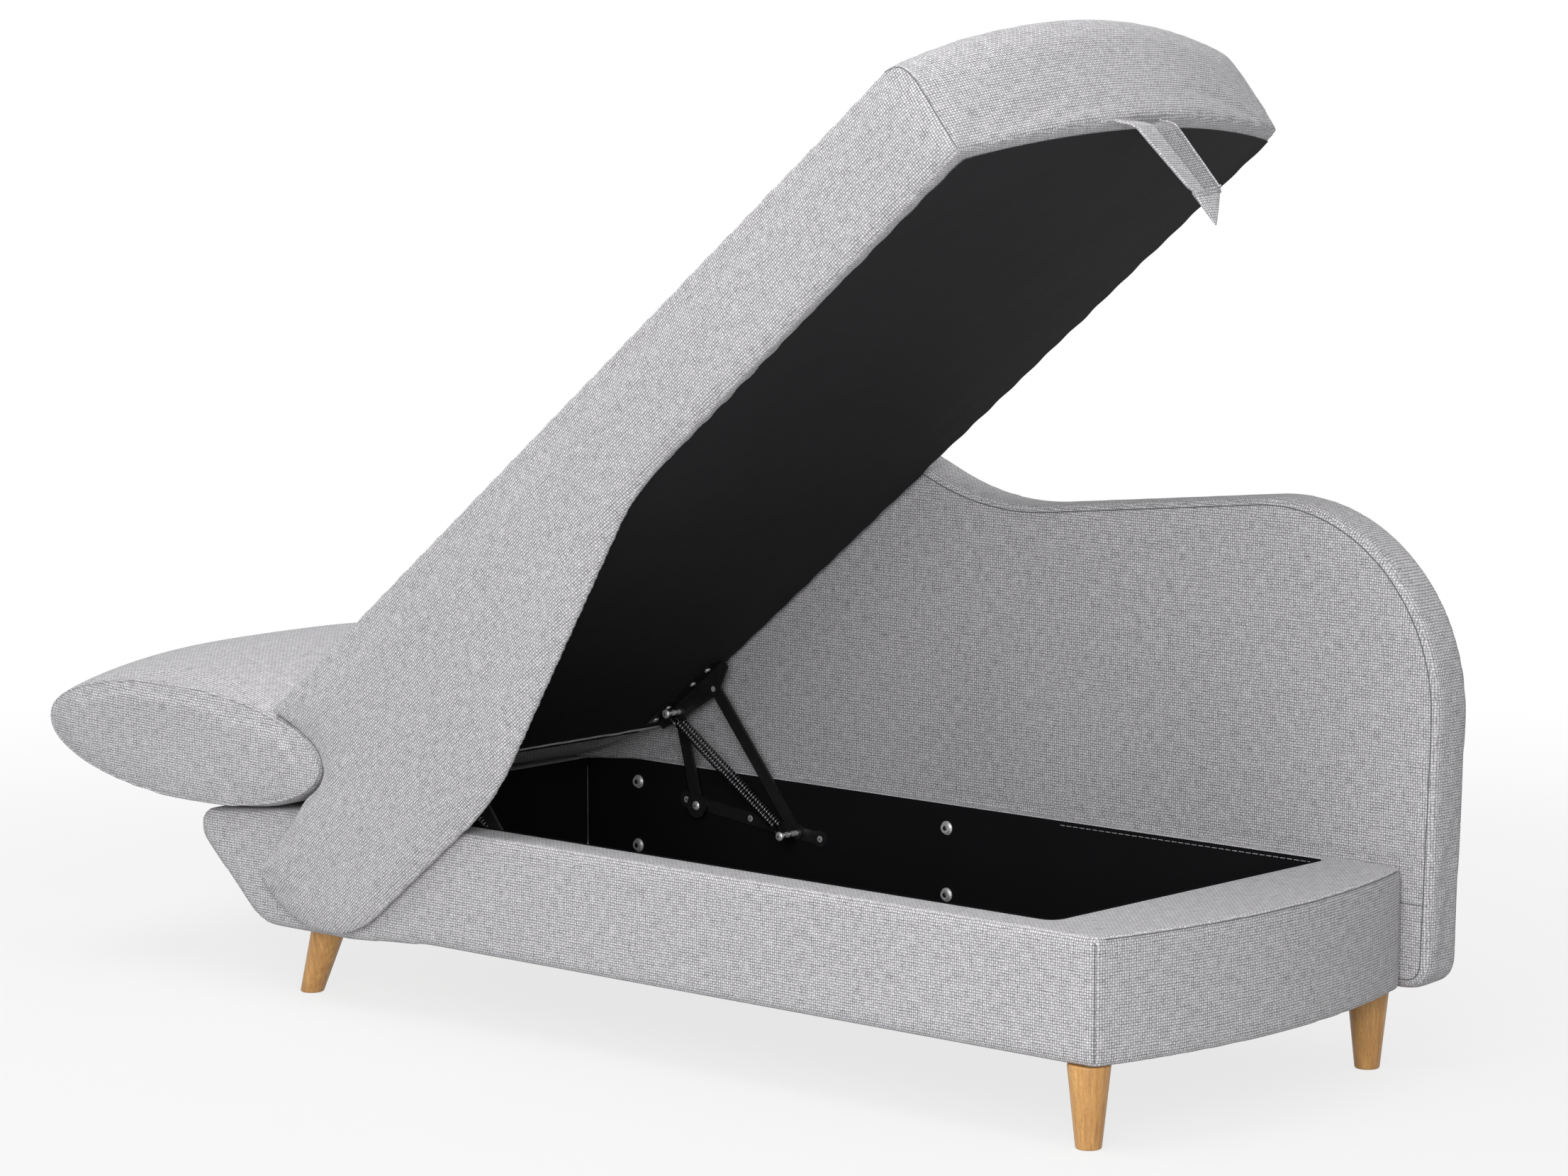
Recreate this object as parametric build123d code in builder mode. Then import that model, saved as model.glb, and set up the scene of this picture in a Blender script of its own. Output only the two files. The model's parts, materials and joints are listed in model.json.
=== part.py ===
"""Storage chaise longue in millimetres, its lid open as photographed. +X is the foot end, +Y the back, +Z up.

Base sizes run along (from the base's front foot corner towards the head), across (from the base's front
face towards the back) and up (from the floor). Lid sizes use the same three words in the lid's own frame,
which starts at the lower front corner of its foot end and turns with it.
"""
from build123d import *
from math import atan2, cos, degrees, hypot, pi, radians, sin
import os

os.makedirs("parts", exist_ok=True)

# Base
leg_height = 104
base_height = 160
base_depth = 627
base_length = 1572
foot_bow = 48
cover = 8
front_rail_thickness = 50
rear_rail_thickness = 18
lining = 2.5
floor_thickness = 9
foot_rim = 109
prow_length = 156
bulkhead_thickness = 18
prow_wall = 12
top_bend_from_head = 252
top_bend_radius = 200
prow_drop = 24
prow_radius = 22
nose_drop = 61
nose_radius = 30
belly_drop = 12
belly_start_from_head = 442
belly_flat_from_head = 292
belly_end_from_head = 120
belly_radius = 200
belly_end_radius = 70
cross_rail_width = 126
dust_cover_thickness = 1.5

# Legs
foot_leg_top = 54
head_leg_top = 48
leg_tip = 32
foot_leg_along = 28
foot_leg_across = 27
rear_foot_leg_along = 40
rear_foot_leg_inset = 15
head_leg_from_bulkhead = 53
head_leg_across = 45
head_leg_splay = 35
stud_diameter = 8
stud_reach = 18

# Back panel
back_thickness = 72
back_bulge = 12
back_board_thickness = 18
back_board_inset = 14
back_cover_thickness = 26
back_foot_out = 28
back_low = 118
back_corner_out = 51
back_corner_up = 738
back_corner_radius = 250
trough_from_head = 882
trough_up = 660
trough_radius = 400
hump_from_head = 600
hump_up = 780
hump_radius = 350
back_head_inset = 42
back_head_radius = 280
back_foot_radius = 20
back_bolts_from_head = (835, 260)
back_bolts_down = (34, 126)
back_bolt_diameter = 8
back_bolt_head = 14
back_bolt_head_thickness = 4
back_bolt_end_cover = 2
washer_diameter = 19
washer_thickness = 1.5

# Lid
lid_angle = 39
lid_overhang = 12
lid_gap = 2
lid_back_gap = 6
panel_gap = 2
lid_thickness = 150
lid_crown = 28
lid_bow = 45
lid_foot_round = 38
lid_head_from_nose = 182
lid_side_draw = 3
lid_wrap = 14
lid_lining_thickness = 2
lid_rail_height = 48
lid_front_rail_width = 86
lid_rear_rail_width = 46
lid_foot_rail_width = 70
lid_head_rail_width = 24
lid_deck_thickness = 9
slat_count = 4
slat_width = 60
slat_thickness = 20

# Front side panel of the lid
panel_thickness = 16
panel_board_thickness = 6
panel_board_inset = 12
panel_sag = 11
panel_sag_from_lid_head = 690
panel_sag_radius = 350
panel_corner_radius = 3
tongue_drop = 182
tongue_foot_from_lid_head = 225
tongue_foot_radius = 350
tongue_head_past_lid_head = 170
tongue_head_radius = 150
tongue_tip_past_lid_head = 228
tongue_tip_drop = 10
tongue_tip_radius = 25
tongue_root_past_lid_head = 22
tongue_root_up = 26
panel_top_past_lid_head = 57
panel_clearance = 3

# Headrest
headrest_past_lid_head = 232.6
headrest_up = 211
headrest_half_length = 277.4
headrest_half_height = 82.3
headrest_lean = 40.9
headrest_crown = 32
headrest_end_thickness = 10
headrest_board_thickness = 30
headrest_board_margin = 28
headrest_board_short = 40
headrest_bolt_diameter = 8
headrest_bolt_length = 56
headrest_bolt_up = 32
headrest_bolt_count = 4
headrest_seam = 0.6

# Pull strap
strap_top_width = 101
strap_drop = 157
strap_tip = 42
strap_band = 36
strap_thickness = 2.5
strap_set_back = 5

# Lift linkage
long_base_from_head = 567
long_base_down = 72
short_base_from_head = 387
short_base_down = 52.4
long_lid_from_lid_head = 136
long_lid_drop = 24
short_lid_from_lid_head = 64
short_lid_drop = 15
long_swing = 38.96
short_swing = 60.7
arm_width = 18
arm_thickness = 4
plate_thickness = 3
plate_half_width = 12
plate_foot_reach = 52
plate_head_reach = 44
layer_gap = 0.5
pin_diameter = 8
pin_fit = 0.05
open_pivot_clearance = 0.4
open_eye_wall = 5
spacer_wall = 3
washer_overlap = 2
bracket_start_from_lid_head = 178
bracket_end_from_lid_head = 18
bracket_width = 28
bracket_eye = 10
bracket_screws_from_lid_head = (154, 118, 57, 26)
screw_diameter = 4
screw_head = 8
screw_head_depth = 2.2
screw_length = 18
spring_diameter = 11
spring_wire = 1.6
spring_coils = 16
spring_hook_reach = 20
spring_gap = 1

# Positions that follow from the sizes above
base_top = leg_height + base_height
belly = leg_height - belly_drop
storage_head = base_length - prow_length
head_leg_along = storage_head - head_leg_from_bulkhead
rear_foot_leg_across = base_depth - rear_foot_leg_inset
front_inside = cover + front_rail_thickness
rear_inside = base_depth - rear_rail_thickness
front_wall = front_inside + lining
rear_wall = rear_inside - lining
board_low = leg_height + cover
floor_top = board_low + floor_thickness
lid_front = -panel_gap
lid_rear = base_depth - lid_back_gap
lid_head = base_length - lid_head_from_nose
panel_top_end = lid_head + panel_top_past_lid_head
headrest_along = lid_head + headrest_past_lid_head
long_lid_along = lid_head - long_lid_from_lid_head
short_lid_along = lid_head - short_lid_from_lid_head
bracket_start = lid_head - bracket_start_from_lid_head
bracket_end = lid_head - bracket_end_from_lid_head
lid_middle = (lid_front + lid_rear) / 2
panel_front = lid_front - panel_thickness
lid_rail_top = lid_lining_thickness + lid_rail_height
lid_deck_top = lid_rail_top + lid_deck_thickness
back_rear = base_depth + back_thickness
back_board_rear = back_rear - back_cover_thickness
back_board_front = back_board_rear - back_board_thickness
pin_radius = pin_diameter / 2


def turned(along, up, angle):
    """Turn a direction given as along and up, anticlockwise where along points right."""
    swing = radians(angle)
    return Vector(along * cos(swing) - up * sin(swing), along * sin(swing) + up * cos(swing))


# Pivots of the linkage with the lid shut and with the lid open
long_base = Vector(base_length - long_base_from_head, base_top - long_base_down)
short_base = Vector(base_length - short_base_from_head, base_top - short_base_down)
long_lid_shut = Vector(long_lid_along - lid_overhang, base_top + lid_gap - long_lid_drop)
long_arm_shut = long_lid_shut - long_base
long_lid_open = long_base + turned(long_arm_shut.X, long_arm_shut.Y, long_swing)
lid_corner = long_lid_open - turned(long_lid_along, -long_lid_drop, -lid_angle)
short_lid_open = lid_corner + turned(short_lid_along, -short_lid_drop, -lid_angle)
short_arm_open = short_lid_open - short_base

# Steady joint ratios leave a small error at the short arm's base pivot, which its eye has room for
open_pivot_error = 0
for step in range(41):
    share = step / 40
    long_arm_now = turned(long_lid_open.X - long_base.X, long_lid_open.Y - long_base.Y, -long_swing * share)
    lid_bar = short_lid_open - long_lid_open
    lid_bar_now = turned(lid_bar.X, lid_bar.Y, lid_angle * share)
    short_arm_now = turned(short_arm_open.X, short_arm_open.Y, -short_swing * share)
    miss = long_base + long_arm_now + lid_bar_now - short_arm_now - short_base
    open_pivot_error = max(open_pivot_error, miss.length)
open_eye_hole = pin_radius + open_pivot_error + open_pivot_clearance
open_eye = open_eye_hole + open_eye_wall

# Origin in the middle of the overall box
headrest_centre = lid_corner + turned(headrest_along, headrest_up, -lid_angle)
headrest_tilt = headrest_lean - lid_angle
headrest_reach = hypot(
    headrest_half_length * cos(radians(headrest_tilt)), headrest_half_height * sin(radians(headrest_tilt))
)
head_reach = headrest_centre.X + headrest_reach
foot_reach = back_corner_out + back_bulge
foot_x = (head_reach + foot_reach) / 2 - foot_reach
front_y = -(back_rear + panel_front) / 2


def side(across):
    """Upright plane down the length of the base: along, then up; the normal points to the back."""
    return Plane(origin=(foot_x, front_y + across, 0), x_dir=(-1, 0, 0), z_dir=(0, 1, 0))


def level(up):
    """Level plane of the base: across, then along; the normal points up."""
    return Plane(origin=(foot_x, front_y, up), x_dir=(0, 1, 0), z_dir=(0, 0, 1))


lid_length_dir = Vector(-cos(radians(lid_angle)), 0, -sin(radians(lid_angle)))
lid_up_dir = Vector(-sin(radians(lid_angle)), 0, cos(radians(lid_angle)))


def lid_point(along, across, up):
    """Place of a point that is given in the lid's frame."""
    corner = Vector(foot_x - lid_corner.X, front_y + across, lid_corner.Y)
    return corner + lid_length_dir * along + lid_up_dir * up


def lid_side(across):
    """Plane down the length of the lid: along, then up; the normal points to the back."""
    return Plane(origin=lid_point(0, across, 0), x_dir=lid_length_dir, z_dir=(0, 1, 0))


def lid_level(up):
    """Plane of the lid's underside, raised: across, then along; the normal points up."""
    return Plane(origin=lid_point(0, 0, up), x_dir=(0, 1, 0), z_dir=lid_up_dir)


def lid_cross(along):
    """Plane square to the lid's length: across, then up; the normal points to the foot end."""
    return Plane(origin=lid_point(along, 0, 0), x_dir=(0, 1, 0), z_dir=-lid_length_dir)


def headrest_plane(across, rise=0):
    """Plane square to the headrest, on its axis or raised from it: along the long axis, then up."""
    lean = radians(headrest_lean)
    origin = lid_point(headrest_along - rise * sin(lean), across, headrest_up + rise * cos(lean))
    tilt = radians(headrest_tilt)
    return Plane(origin=origin, x_dir=(-cos(tilt), 0, sin(tilt)), z_dir=(0, 1, 0))


def box_between(start, end):
    """Draw a rectangle between two corners."""
    with Locations(((start[0] + end[0]) / 2, (start[1] + end[1]) / 2)):
        Rectangle(abs(end[0] - start[0]), abs(end[1] - start[1]))


def window(start, end):
    """Keep only the part of the sketch that lies between two corners."""
    with Locations(((start[0] + end[0]) / 2, (start[1] + end[1]) / 2)):
        Rectangle(abs(end[0] - start[0]), abs(end[1] - start[1]), mode=Mode.INTERSECT)


def base_outline(inset):
    """Side outline of the base, with its dipped top and its belly at the head end."""
    with BuildLine() as edge:
        FilletPolyline(
            (0, leg_height),
            (0, base_top),
            (base_length - top_bend_from_head, base_top),
            (base_length, base_top - prow_drop),
            (base_length, base_top - nose_drop),
            (base_length - belly_end_from_head, belly),
            (base_length - belly_flat_from_head, belly),
            (base_length - belly_start_from_head, leg_height),
            radius=(
                0,
                0,
                top_bend_radius,
                prow_radius,
                nose_radius,
                belly_end_radius,
                belly_radius,
                belly_radius,
            ),
            close=True,
        )
    make_face(edge.edges())
    if inset:
        offset(amount=-inset, mode=Mode.REPLACE)


def bowed_end(bow, set_back, depth, front=0):
    """Lines from the front corner round the bowed foot end to the rear corner."""
    ThreePointArc((front, set_back), ((front + depth) / 2, set_back - bow), (depth, set_back))


def back_outline(growth):
    """Seam outline of the back panel, grown or shrunk evenly."""
    with BuildLine() as edge:
        FilletPolyline(
            (-back_foot_out, back_low),
            (-back_corner_out, back_corner_up),
            (base_length - trough_from_head, trough_up),
            (base_length - hump_from_head, hump_up),
            (base_length - back_head_inset, hump_up),
            (base_length - back_head_inset, back_low),
            radius=(
                back_foot_radius,
                back_corner_radius,
                trough_radius,
                hump_radius,
                back_head_radius,
                back_foot_radius,
            ),
            close=True,
        )
    make_face(edge.edges())
    offset(amount=growth, mode=Mode.REPLACE)


def lid_plan(inset):
    """Plan of the lid with its bowed foot end, drawn in evenly but for its head end."""
    with BuildLine() as edge:
        bowed_end(lid_bow, inset, lid_rear - inset, lid_front + inset)
        Polyline(
            (lid_rear - inset, inset),
            (lid_rear - inset, lid_head),
            (lid_front + inset, lid_head),
            (lid_front + inset, inset),
        )
    make_face(edge.edges())


def panel_outline(inset):
    """Outline of the lid's front side panel with the tongue that hangs over the base."""
    with BuildLine() as edge:
        FilletPolyline(
            (0, lid_thickness),
            (0, 0),
            (lid_head - panel_sag_from_lid_head, -panel_sag),
            (lid_head - tongue_foot_from_lid_head, -tongue_drop),
            (lid_head + tongue_head_past_lid_head, -tongue_drop),
            (lid_head + tongue_tip_past_lid_head, -tongue_tip_drop),
            (lid_head + tongue_root_past_lid_head, tongue_root_up),
            (panel_top_end, lid_thickness),
            radius=(
                lid_foot_round,
                panel_corner_radius,
                panel_sag_radius,
                tongue_foot_radius,
                tongue_head_radius,
                tongue_tip_radius,
                panel_corner_radius,
                panel_corner_radius,
            ),
            close=True,
        )
    make_face(edge.edges())
    if inset:
        offset(amount=-inset, mode=Mode.REPLACE)


def biarc(start, start_dir, end, end_dir):
    """Draw two arcs that leave one point and reach another in given directions."""
    chord = end - start
    both = start_dir + end_dir
    spread = 2 * (1 - start_dir.dot(end_dir))
    pull = chord.dot(both)
    if spread < 1e-9:
        reach = chord.dot(chord) / (4 * chord.dot(end_dir))
    else:
        reach = (-pull + (pull * pull + spread * chord.dot(chord)) ** 0.5) / spread
    middle = (start + end + (start_dir - end_dir) * reach) * 0.5
    TangentArc(start, middle, tangent=start_dir)
    TangentArc(middle, end, tangent=-end_dir, tangent_from_first=False)


# Studs, bolts and screws come first, because other pieces are bored for them
leg_places = (
    (foot_leg_along, foot_leg_across, leg_height),
    (rear_foot_leg_along, rear_foot_leg_across, leg_height),
    (head_leg_along, head_leg_across, belly),
    (head_leg_along, base_depth - head_leg_across, belly),
)
with BuildPart() as leg_studs:
    for place in leg_places:
        with BuildSketch(level(place[2] - stud_reach)):
            with Locations((place[1], place[0])):
                Circle(stud_diameter / 2)
        extrude(amount=2 * stud_reach)

# Bolts and washers that hold the back panel
back_bolt_places = [
    (base_length - from_head, base_top - down)
    for from_head in back_bolts_from_head
    for down in back_bolts_down
]
washer_face = rear_wall - washer_thickness
with BuildPart() as backrest_washers:
    with BuildSketch(side(washer_face)):
        with Locations(back_bolt_places):
            Circle(washer_diameter / 2)
            Circle(back_bolt_diameter / 2, mode=Mode.SUBTRACT)
    extrude(amount=washer_thickness)

with BuildPart() as backrest_bolts:
    with BuildSketch(side(washer_face)):
        with Locations(back_bolt_places):
            Circle(back_bolt_diameter / 2)
    extrude(amount=back_board_rear - back_bolt_end_cover - washer_face)
    with BuildSketch(side(washer_face - back_bolt_head_thickness)):
        with Locations(back_bolt_places):
            Circle(back_bolt_head / 2)
    extrude(amount=back_bolt_head_thickness)

# Screws of the base plates and of the lid brackets, sunk flush
middle_plane = Plane.XZ.offset(-(front_y + (front_wall + rear_wall) / 2))
plate_line = (short_base - long_base).normalized()
plate_screw_points = (
    long_base - plate_line * (plate_foot_reach - plate_half_width),
    long_base + plate_line * (short_base - long_base).length / 2,
    short_base + plate_line * (plate_head_reach - plate_half_width),
)


def sunk_screw(plane, first, second):
    """Turn a screw whose flat sunk head is flush with a plane and whose shank runs along its normal."""
    start = (Align.CENTER, Align.CENTER, Align.MIN)
    with Locations(Plane(origin=plane.from_local_coords((first, second, 0)), z_dir=plane.z_dir)):
        Cone(screw_head / 2, screw_diameter / 2, screw_head_depth, align=start)
        Cylinder(screw_diameter / 2, screw_length, align=start)


with BuildPart() as plate_screws:
    for point in plate_screw_points:
        sunk_screw(side(rear_wall - plate_thickness), point.X, point.Y)
    mirror(about=middle_plane)

# Layers of each linkage, counted inwards from the storage wall
arm_near = plate_thickness + layer_gap
arm_far = arm_near + arm_thickness
flange_near = arm_far + layer_gap
flange_far = flange_near + plate_thickness
short_near = flange_far + layer_gap
short_far = short_near + arm_thickness
washer_near = short_far + layer_gap
washer_far = washer_near + washer_thickness
first_spring = washer_far + spring_gap + spring_diameter / 2
second_spring = first_spring + spring_diameter + spring_gap
pin_end = second_spring + spring_diameter / 2 + spring_gap

bracket_far = flange_near + bracket_width
bracket_screw_across = rear_wall - flange_far - (bracket_width - plate_thickness) / 2
with BuildPart() as bracket_screws:
    for from_lid_head in bracket_screws_from_lid_head:
        sunk_screw(lid_level(-plate_thickness), bracket_screw_across, lid_head - from_lid_head)
    mirror(about=middle_plane)

# Base boards
with BuildPart() as front_rail:
    with BuildSketch(side(cover)):
        base_outline(cover)
    extrude(amount=front_rail_thickness)
    add(leg_studs.part, mode=Mode.SUBTRACT)
    add(plate_screws.part, mode=Mode.SUBTRACT)

with BuildPart() as rear_rail:
    with BuildSketch(side(rear_inside)):
        base_outline(cover)
        window((foot_rim, 0), (base_length, base_top))
    extrude(amount=rear_rail_thickness)
    add(backrest_bolts.part, mode=Mode.SUBTRACT)
    add(plate_screws.part, mode=Mode.SUBTRACT)

with BuildPart() as foot_rail:
    with BuildSketch(level(board_low)):
        with BuildLine():
            bowed_end(foot_bow, cover, base_depth)
            Polyline((base_depth, cover), (base_depth, foot_rim), (0, foot_rim), (0, cover))
        make_face()
        window((front_inside, -foot_bow), (base_depth, foot_rim))
    extrude(amount=base_height - 2 * cover)
    add(leg_studs.part, mode=Mode.SUBTRACT)

with BuildPart() as storage_floor:
    with BuildSketch(level(board_low)):
        box_between((front_inside, foot_rim), (rear_inside, storage_head))
    extrude(amount=floor_thickness)

with BuildPart() as head_bulkhead:
    with BuildSketch(side(front_inside)):
        base_outline(cover)
        window((storage_head, 0), (storage_head + bulkhead_thickness, base_top))
    extrude(amount=rear_inside - front_inside)

with BuildPart() as prow_shell:
    with BuildSketch(side(front_inside)):
        base_outline(cover)
        window((storage_head + bulkhead_thickness, 0), (base_length, base_top))
    extrude(amount=rear_inside - front_inside)
    with BuildSketch(side(front_inside)):
        base_outline(cover + prow_wall)
    extrude(amount=rear_inside - front_inside, mode=Mode.SUBTRACT)

with BuildPart() as head_cross_rail:
    with BuildSketch(level(belly)):
        box_between((front_inside, storage_head - cross_rail_width), (rear_inside, storage_head))
    extrude(amount=board_low - belly)
    add(leg_studs.part, mode=Mode.SUBTRACT)

# Fabric covers and linings of the base
with BuildPart() as base_front_cover:
    with BuildSketch(side(0)):
        base_outline(0)
        window((cover, 0), (base_length, base_top))
    extrude(amount=front_inside)
    with BuildSketch(side(cover)):
        base_outline(cover)
    extrude(amount=front_rail_thickness, mode=Mode.SUBTRACT)
    add(leg_studs.part, mode=Mode.SUBTRACT)

with BuildPart() as base_foot_cover:
    with BuildSketch(level(leg_height)):
        with BuildLine():
            bowed_end(foot_bow, 0, base_depth)
            Polyline(
                (base_depth, 0),
                (base_depth, foot_rim),
                (front_inside, foot_rim),
                (front_inside, cover),
                (0, cover),
                (0, 0),
            )
        make_face()
    extrude(amount=base_height)
    add(foot_rail.part, mode=Mode.SUBTRACT)
    add(leg_studs.part, mode=Mode.SUBTRACT)

with BuildPart() as base_head_cover:
    with BuildSketch(side(front_inside)):
        base_outline(0)
        window((storage_head, 0), (base_length, base_top))
    extrude(amount=base_depth - front_inside)
    with BuildSketch(side(front_inside)):
        base_outline(cover)
    extrude(amount=base_depth - front_inside, mode=Mode.SUBTRACT)

with BuildPart() as rear_rim_cover:
    with BuildSketch(side(rear_inside)):
        base_outline(0)
        window((foot_rim, leg_height + base_height / 2), (storage_head, base_top))
    extrude(amount=rear_rail_thickness)
    with BuildSketch(side(rear_inside)):
        base_outline(cover)
    extrude(amount=rear_rail_thickness, mode=Mode.SUBTRACT)

with BuildPart() as storage_lining:
    with BuildSketch(side(front_inside)):
        base_outline(0)
        window((foot_rim, floor_top), (storage_head, base_top))
    extrude(amount=rear_inside - front_inside)
    with BuildSketch(side(front_wall)):
        box_between((foot_rim + lining, floor_top + lining), (storage_head - lining, base_top + cover))
    extrude(amount=rear_wall - front_wall, mode=Mode.SUBTRACT)
    add(backrest_bolts.part, mode=Mode.SUBTRACT)
    add(plate_screws.part, mode=Mode.SUBTRACT)

with BuildPart() as dust_cover:
    with BuildSketch(level(board_low - dust_cover_thickness)):
        box_between((front_inside, foot_rim), (rear_inside, storage_head - cross_rail_width))
    extrude(amount=dust_cover_thickness)

# Legs
with BuildPart() as foot_front_leg:
    with BuildSketch(level(0)):
        with Locations((foot_leg_across, foot_leg_along)):
            Circle(leg_tip / 2)
    with BuildSketch(level(leg_height)):
        with Locations((foot_leg_across, foot_leg_along)):
            Circle(foot_leg_top / 2)
    loft()
    add(leg_studs.part, mode=Mode.SUBTRACT)

with BuildPart() as foot_rear_leg:
    with BuildSketch(level(0)):
        with Locations((rear_foot_leg_across, rear_foot_leg_along)):
            Circle(leg_tip / 2)
    with BuildSketch(level(leg_height)):
        with Locations((rear_foot_leg_across, rear_foot_leg_along)):
            Circle(foot_leg_top / 2)
    loft()
    add(leg_studs.part, mode=Mode.SUBTRACT)


def splayed_leg(across):
    """Turn a leg on its splayed axis and cut it level at the floor and at the belly."""
    tip = level(0).from_local_coords((across, head_leg_along + head_leg_splay, 0))
    top = level(belly).from_local_coords((across, head_leg_along, 0))
    axis = top - tip
    growth = (head_leg_top - leg_tip) / 2
    with Locations(Plane(origin=(tip + top) * 0.5, z_dir=axis)):
        Cone(leg_tip / 2 - growth, head_leg_top / 2 + growth, 3 * axis.length)
    with BuildSketch(level(0)) as slab:
        with Locations((across, head_leg_along)):
            Rectangle(4 * head_leg_top, 4 * head_leg_top)
    extrude(slab.sketch, amount=belly, mode=Mode.INTERSECT)
    add(leg_studs.part, mode=Mode.SUBTRACT)


with BuildPart() as head_front_leg:
    splayed_leg(head_leg_across)

with BuildPart() as head_rear_leg:
    splayed_leg(base_depth - head_leg_across)

# Back panel
with BuildPart() as backrest_board:
    with BuildSketch(side(back_board_front)):
        back_outline(-back_board_inset)
    extrude(amount=back_board_thickness)
    add(backrest_bolts.part, mode=Mode.SUBTRACT)

with BuildPart() as backrest_cushion:
    with BuildSketch(side(base_depth)):
        back_outline(back_bulge)
    extrude(amount=back_board_rear - base_depth)
    front_edges = backrest_cushion.faces().sort_by(Axis.Y)[0].edges()
    fillet(front_edges, radius=back_bulge)
    with BuildSketch(side(back_board_front)):
        back_outline(-back_board_inset)
    extrude(amount=back_board_thickness, mode=Mode.SUBTRACT)
    add(backrest_bolts.part, mode=Mode.SUBTRACT)

with BuildPart() as backrest_rear_cover:
    with BuildSketch(side(back_board_rear)):
        back_outline(back_bulge)
    extrude(amount=back_cover_thickness)
    rear_edges = backrest_rear_cover.faces().sort_by(Axis.Y)[-1].edges()
    fillet(rear_edges, radius=back_bulge)

# Headrest
headrest_front = panel_front + headrest_end_thickness
headrest_rear = lid_rear - headrest_end_thickness
headrest_rise = ((0, 0), (0.09, 0.45), (0.22, 0.85), (0.36, 1))
headrest_sections = headrest_rise + tuple((1 - share, swell) for share, swell in reversed(headrest_rise))
headrest_span = headrest_rear - headrest_front


def headrest_body(growth):
    """Loft the headrest's swelling body through its sections."""
    sections = []
    for share, swell in headrest_sections:
        across = headrest_front - growth + (headrest_span + 2 * growth) * share
        rise = headrest_crown * swell / 2
        with BuildSketch(headrest_plane(across, rise)) as section:
            Ellipse(headrest_half_length + growth, headrest_half_height + rise + growth)
        sections.append(section.sketch.face())
    loft(sections)


with BuildPart() as headrest_bolts:
    for number in range(headrest_bolt_count):
        across = lid_front + (lid_rear - lid_front) * (number + 0.5) / headrest_bolt_count
        with BuildSketch(lid_cross(lid_head - lid_head_rail_width)):
            with Locations((across, headrest_bolt_up)):
                Circle(headrest_bolt_diameter / 2)
        extrude(amount=-headrest_bolt_length)

with BuildPart() as headrest_board:
    with BuildSketch(headrest_plane(headrest_front + headrest_board_margin)):
        box_between(
            (-headrest_half_length - headrest_board_short, -headrest_board_thickness / 2),
            (headrest_half_length - headrest_board_short, headrest_board_thickness / 2),
        )
    extrude(amount=headrest_span - 2 * headrest_board_margin)
    with BuildSketch(lid_side(panel_front)):
        box_between(
            (lid_head, lid_lining_thickness), (lid_head + 2 * headrest_half_length, 4 * headrest_half_length)
        )
    extrude(amount=lid_rear - panel_front, mode=Mode.INTERSECT)
    add(headrest_bolts.part, mode=Mode.SUBTRACT)

with BuildPart() as headrest_cushion:
    headrest_body(0)
    add(headrest_board.part, mode=Mode.SUBTRACT)
    add(headrest_bolts.part, mode=Mode.SUBTRACT)

with BuildPart() as headrest_end_front:
    with BuildSketch(headrest_plane(panel_front)):
        Ellipse(headrest_half_length, headrest_half_height)
    extrude(amount=headrest_end_thickness)

with BuildPart() as headrest_end_rear:
    with BuildSketch(headrest_plane(headrest_rear)):
        Ellipse(headrest_half_length, headrest_half_height)
    extrude(amount=headrest_end_thickness)

# Lid frame
inner_front = lid_front + lid_wrap
inner_rear = lid_rear - lid_wrap
with BuildPart() as lid_lining:
    with BuildSketch(lid_level(0)):
        lid_plan(lid_wrap)
    extrude(amount=lid_lining_thickness)
    add(bracket_screws.part, mode=Mode.SUBTRACT)

with BuildPart() as lid_front_rail:
    with BuildSketch(lid_level(lid_lining_thickness)):
        lid_plan(lid_wrap)
        window((inner_front, -lid_bow), (inner_front + lid_front_rail_width, lid_head - lid_head_rail_width))
    extrude(amount=lid_rail_height)
    add(bracket_screws.part, mode=Mode.SUBTRACT)

with BuildPart() as lid_rear_rail:
    with BuildSketch(lid_level(lid_lining_thickness)):
        lid_plan(lid_wrap)
        window((inner_rear - lid_rear_rail_width, -lid_bow), (inner_rear, lid_head - lid_head_rail_width))
    extrude(amount=lid_rail_height)
    add(bracket_screws.part, mode=Mode.SUBTRACT)

slat_front = inner_front + lid_front_rail_width
slat_rear = inner_rear - lid_rear_rail_width
with BuildPart() as lid_foot_rail:
    with BuildSketch(lid_level(lid_lining_thickness)):
        lid_plan(lid_wrap)
        window((slat_front, -lid_bow), (slat_rear, lid_foot_rail_width))
    extrude(amount=lid_rail_height)

with BuildPart() as lid_head_rail:
    with BuildSketch(lid_level(lid_lining_thickness)):
        box_between((inner_front, lid_head - lid_head_rail_width), (inner_rear, lid_head))
    extrude(amount=lid_rail_height)
    add(headrest_bolts.part, mode=Mode.SUBTRACT)

with BuildPart() as lid_slats:
    slat_bay = (lid_head - lid_head_rail_width - lid_foot_rail_width) / (slat_count + 1)
    for number in range(slat_count):
        along = lid_foot_rail_width + slat_bay * (number + 1)
        with BuildSketch(lid_level(lid_rail_top - slat_thickness)):
            box_between((slat_front, along - slat_width / 2), (slat_rear, along + slat_width / 2))
        extrude(amount=slat_thickness)

with BuildPart() as lid_deck:
    with BuildSketch(lid_level(lid_rail_top)):
        lid_plan(lid_wrap)
    extrude(amount=lid_deck_thickness)

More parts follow.
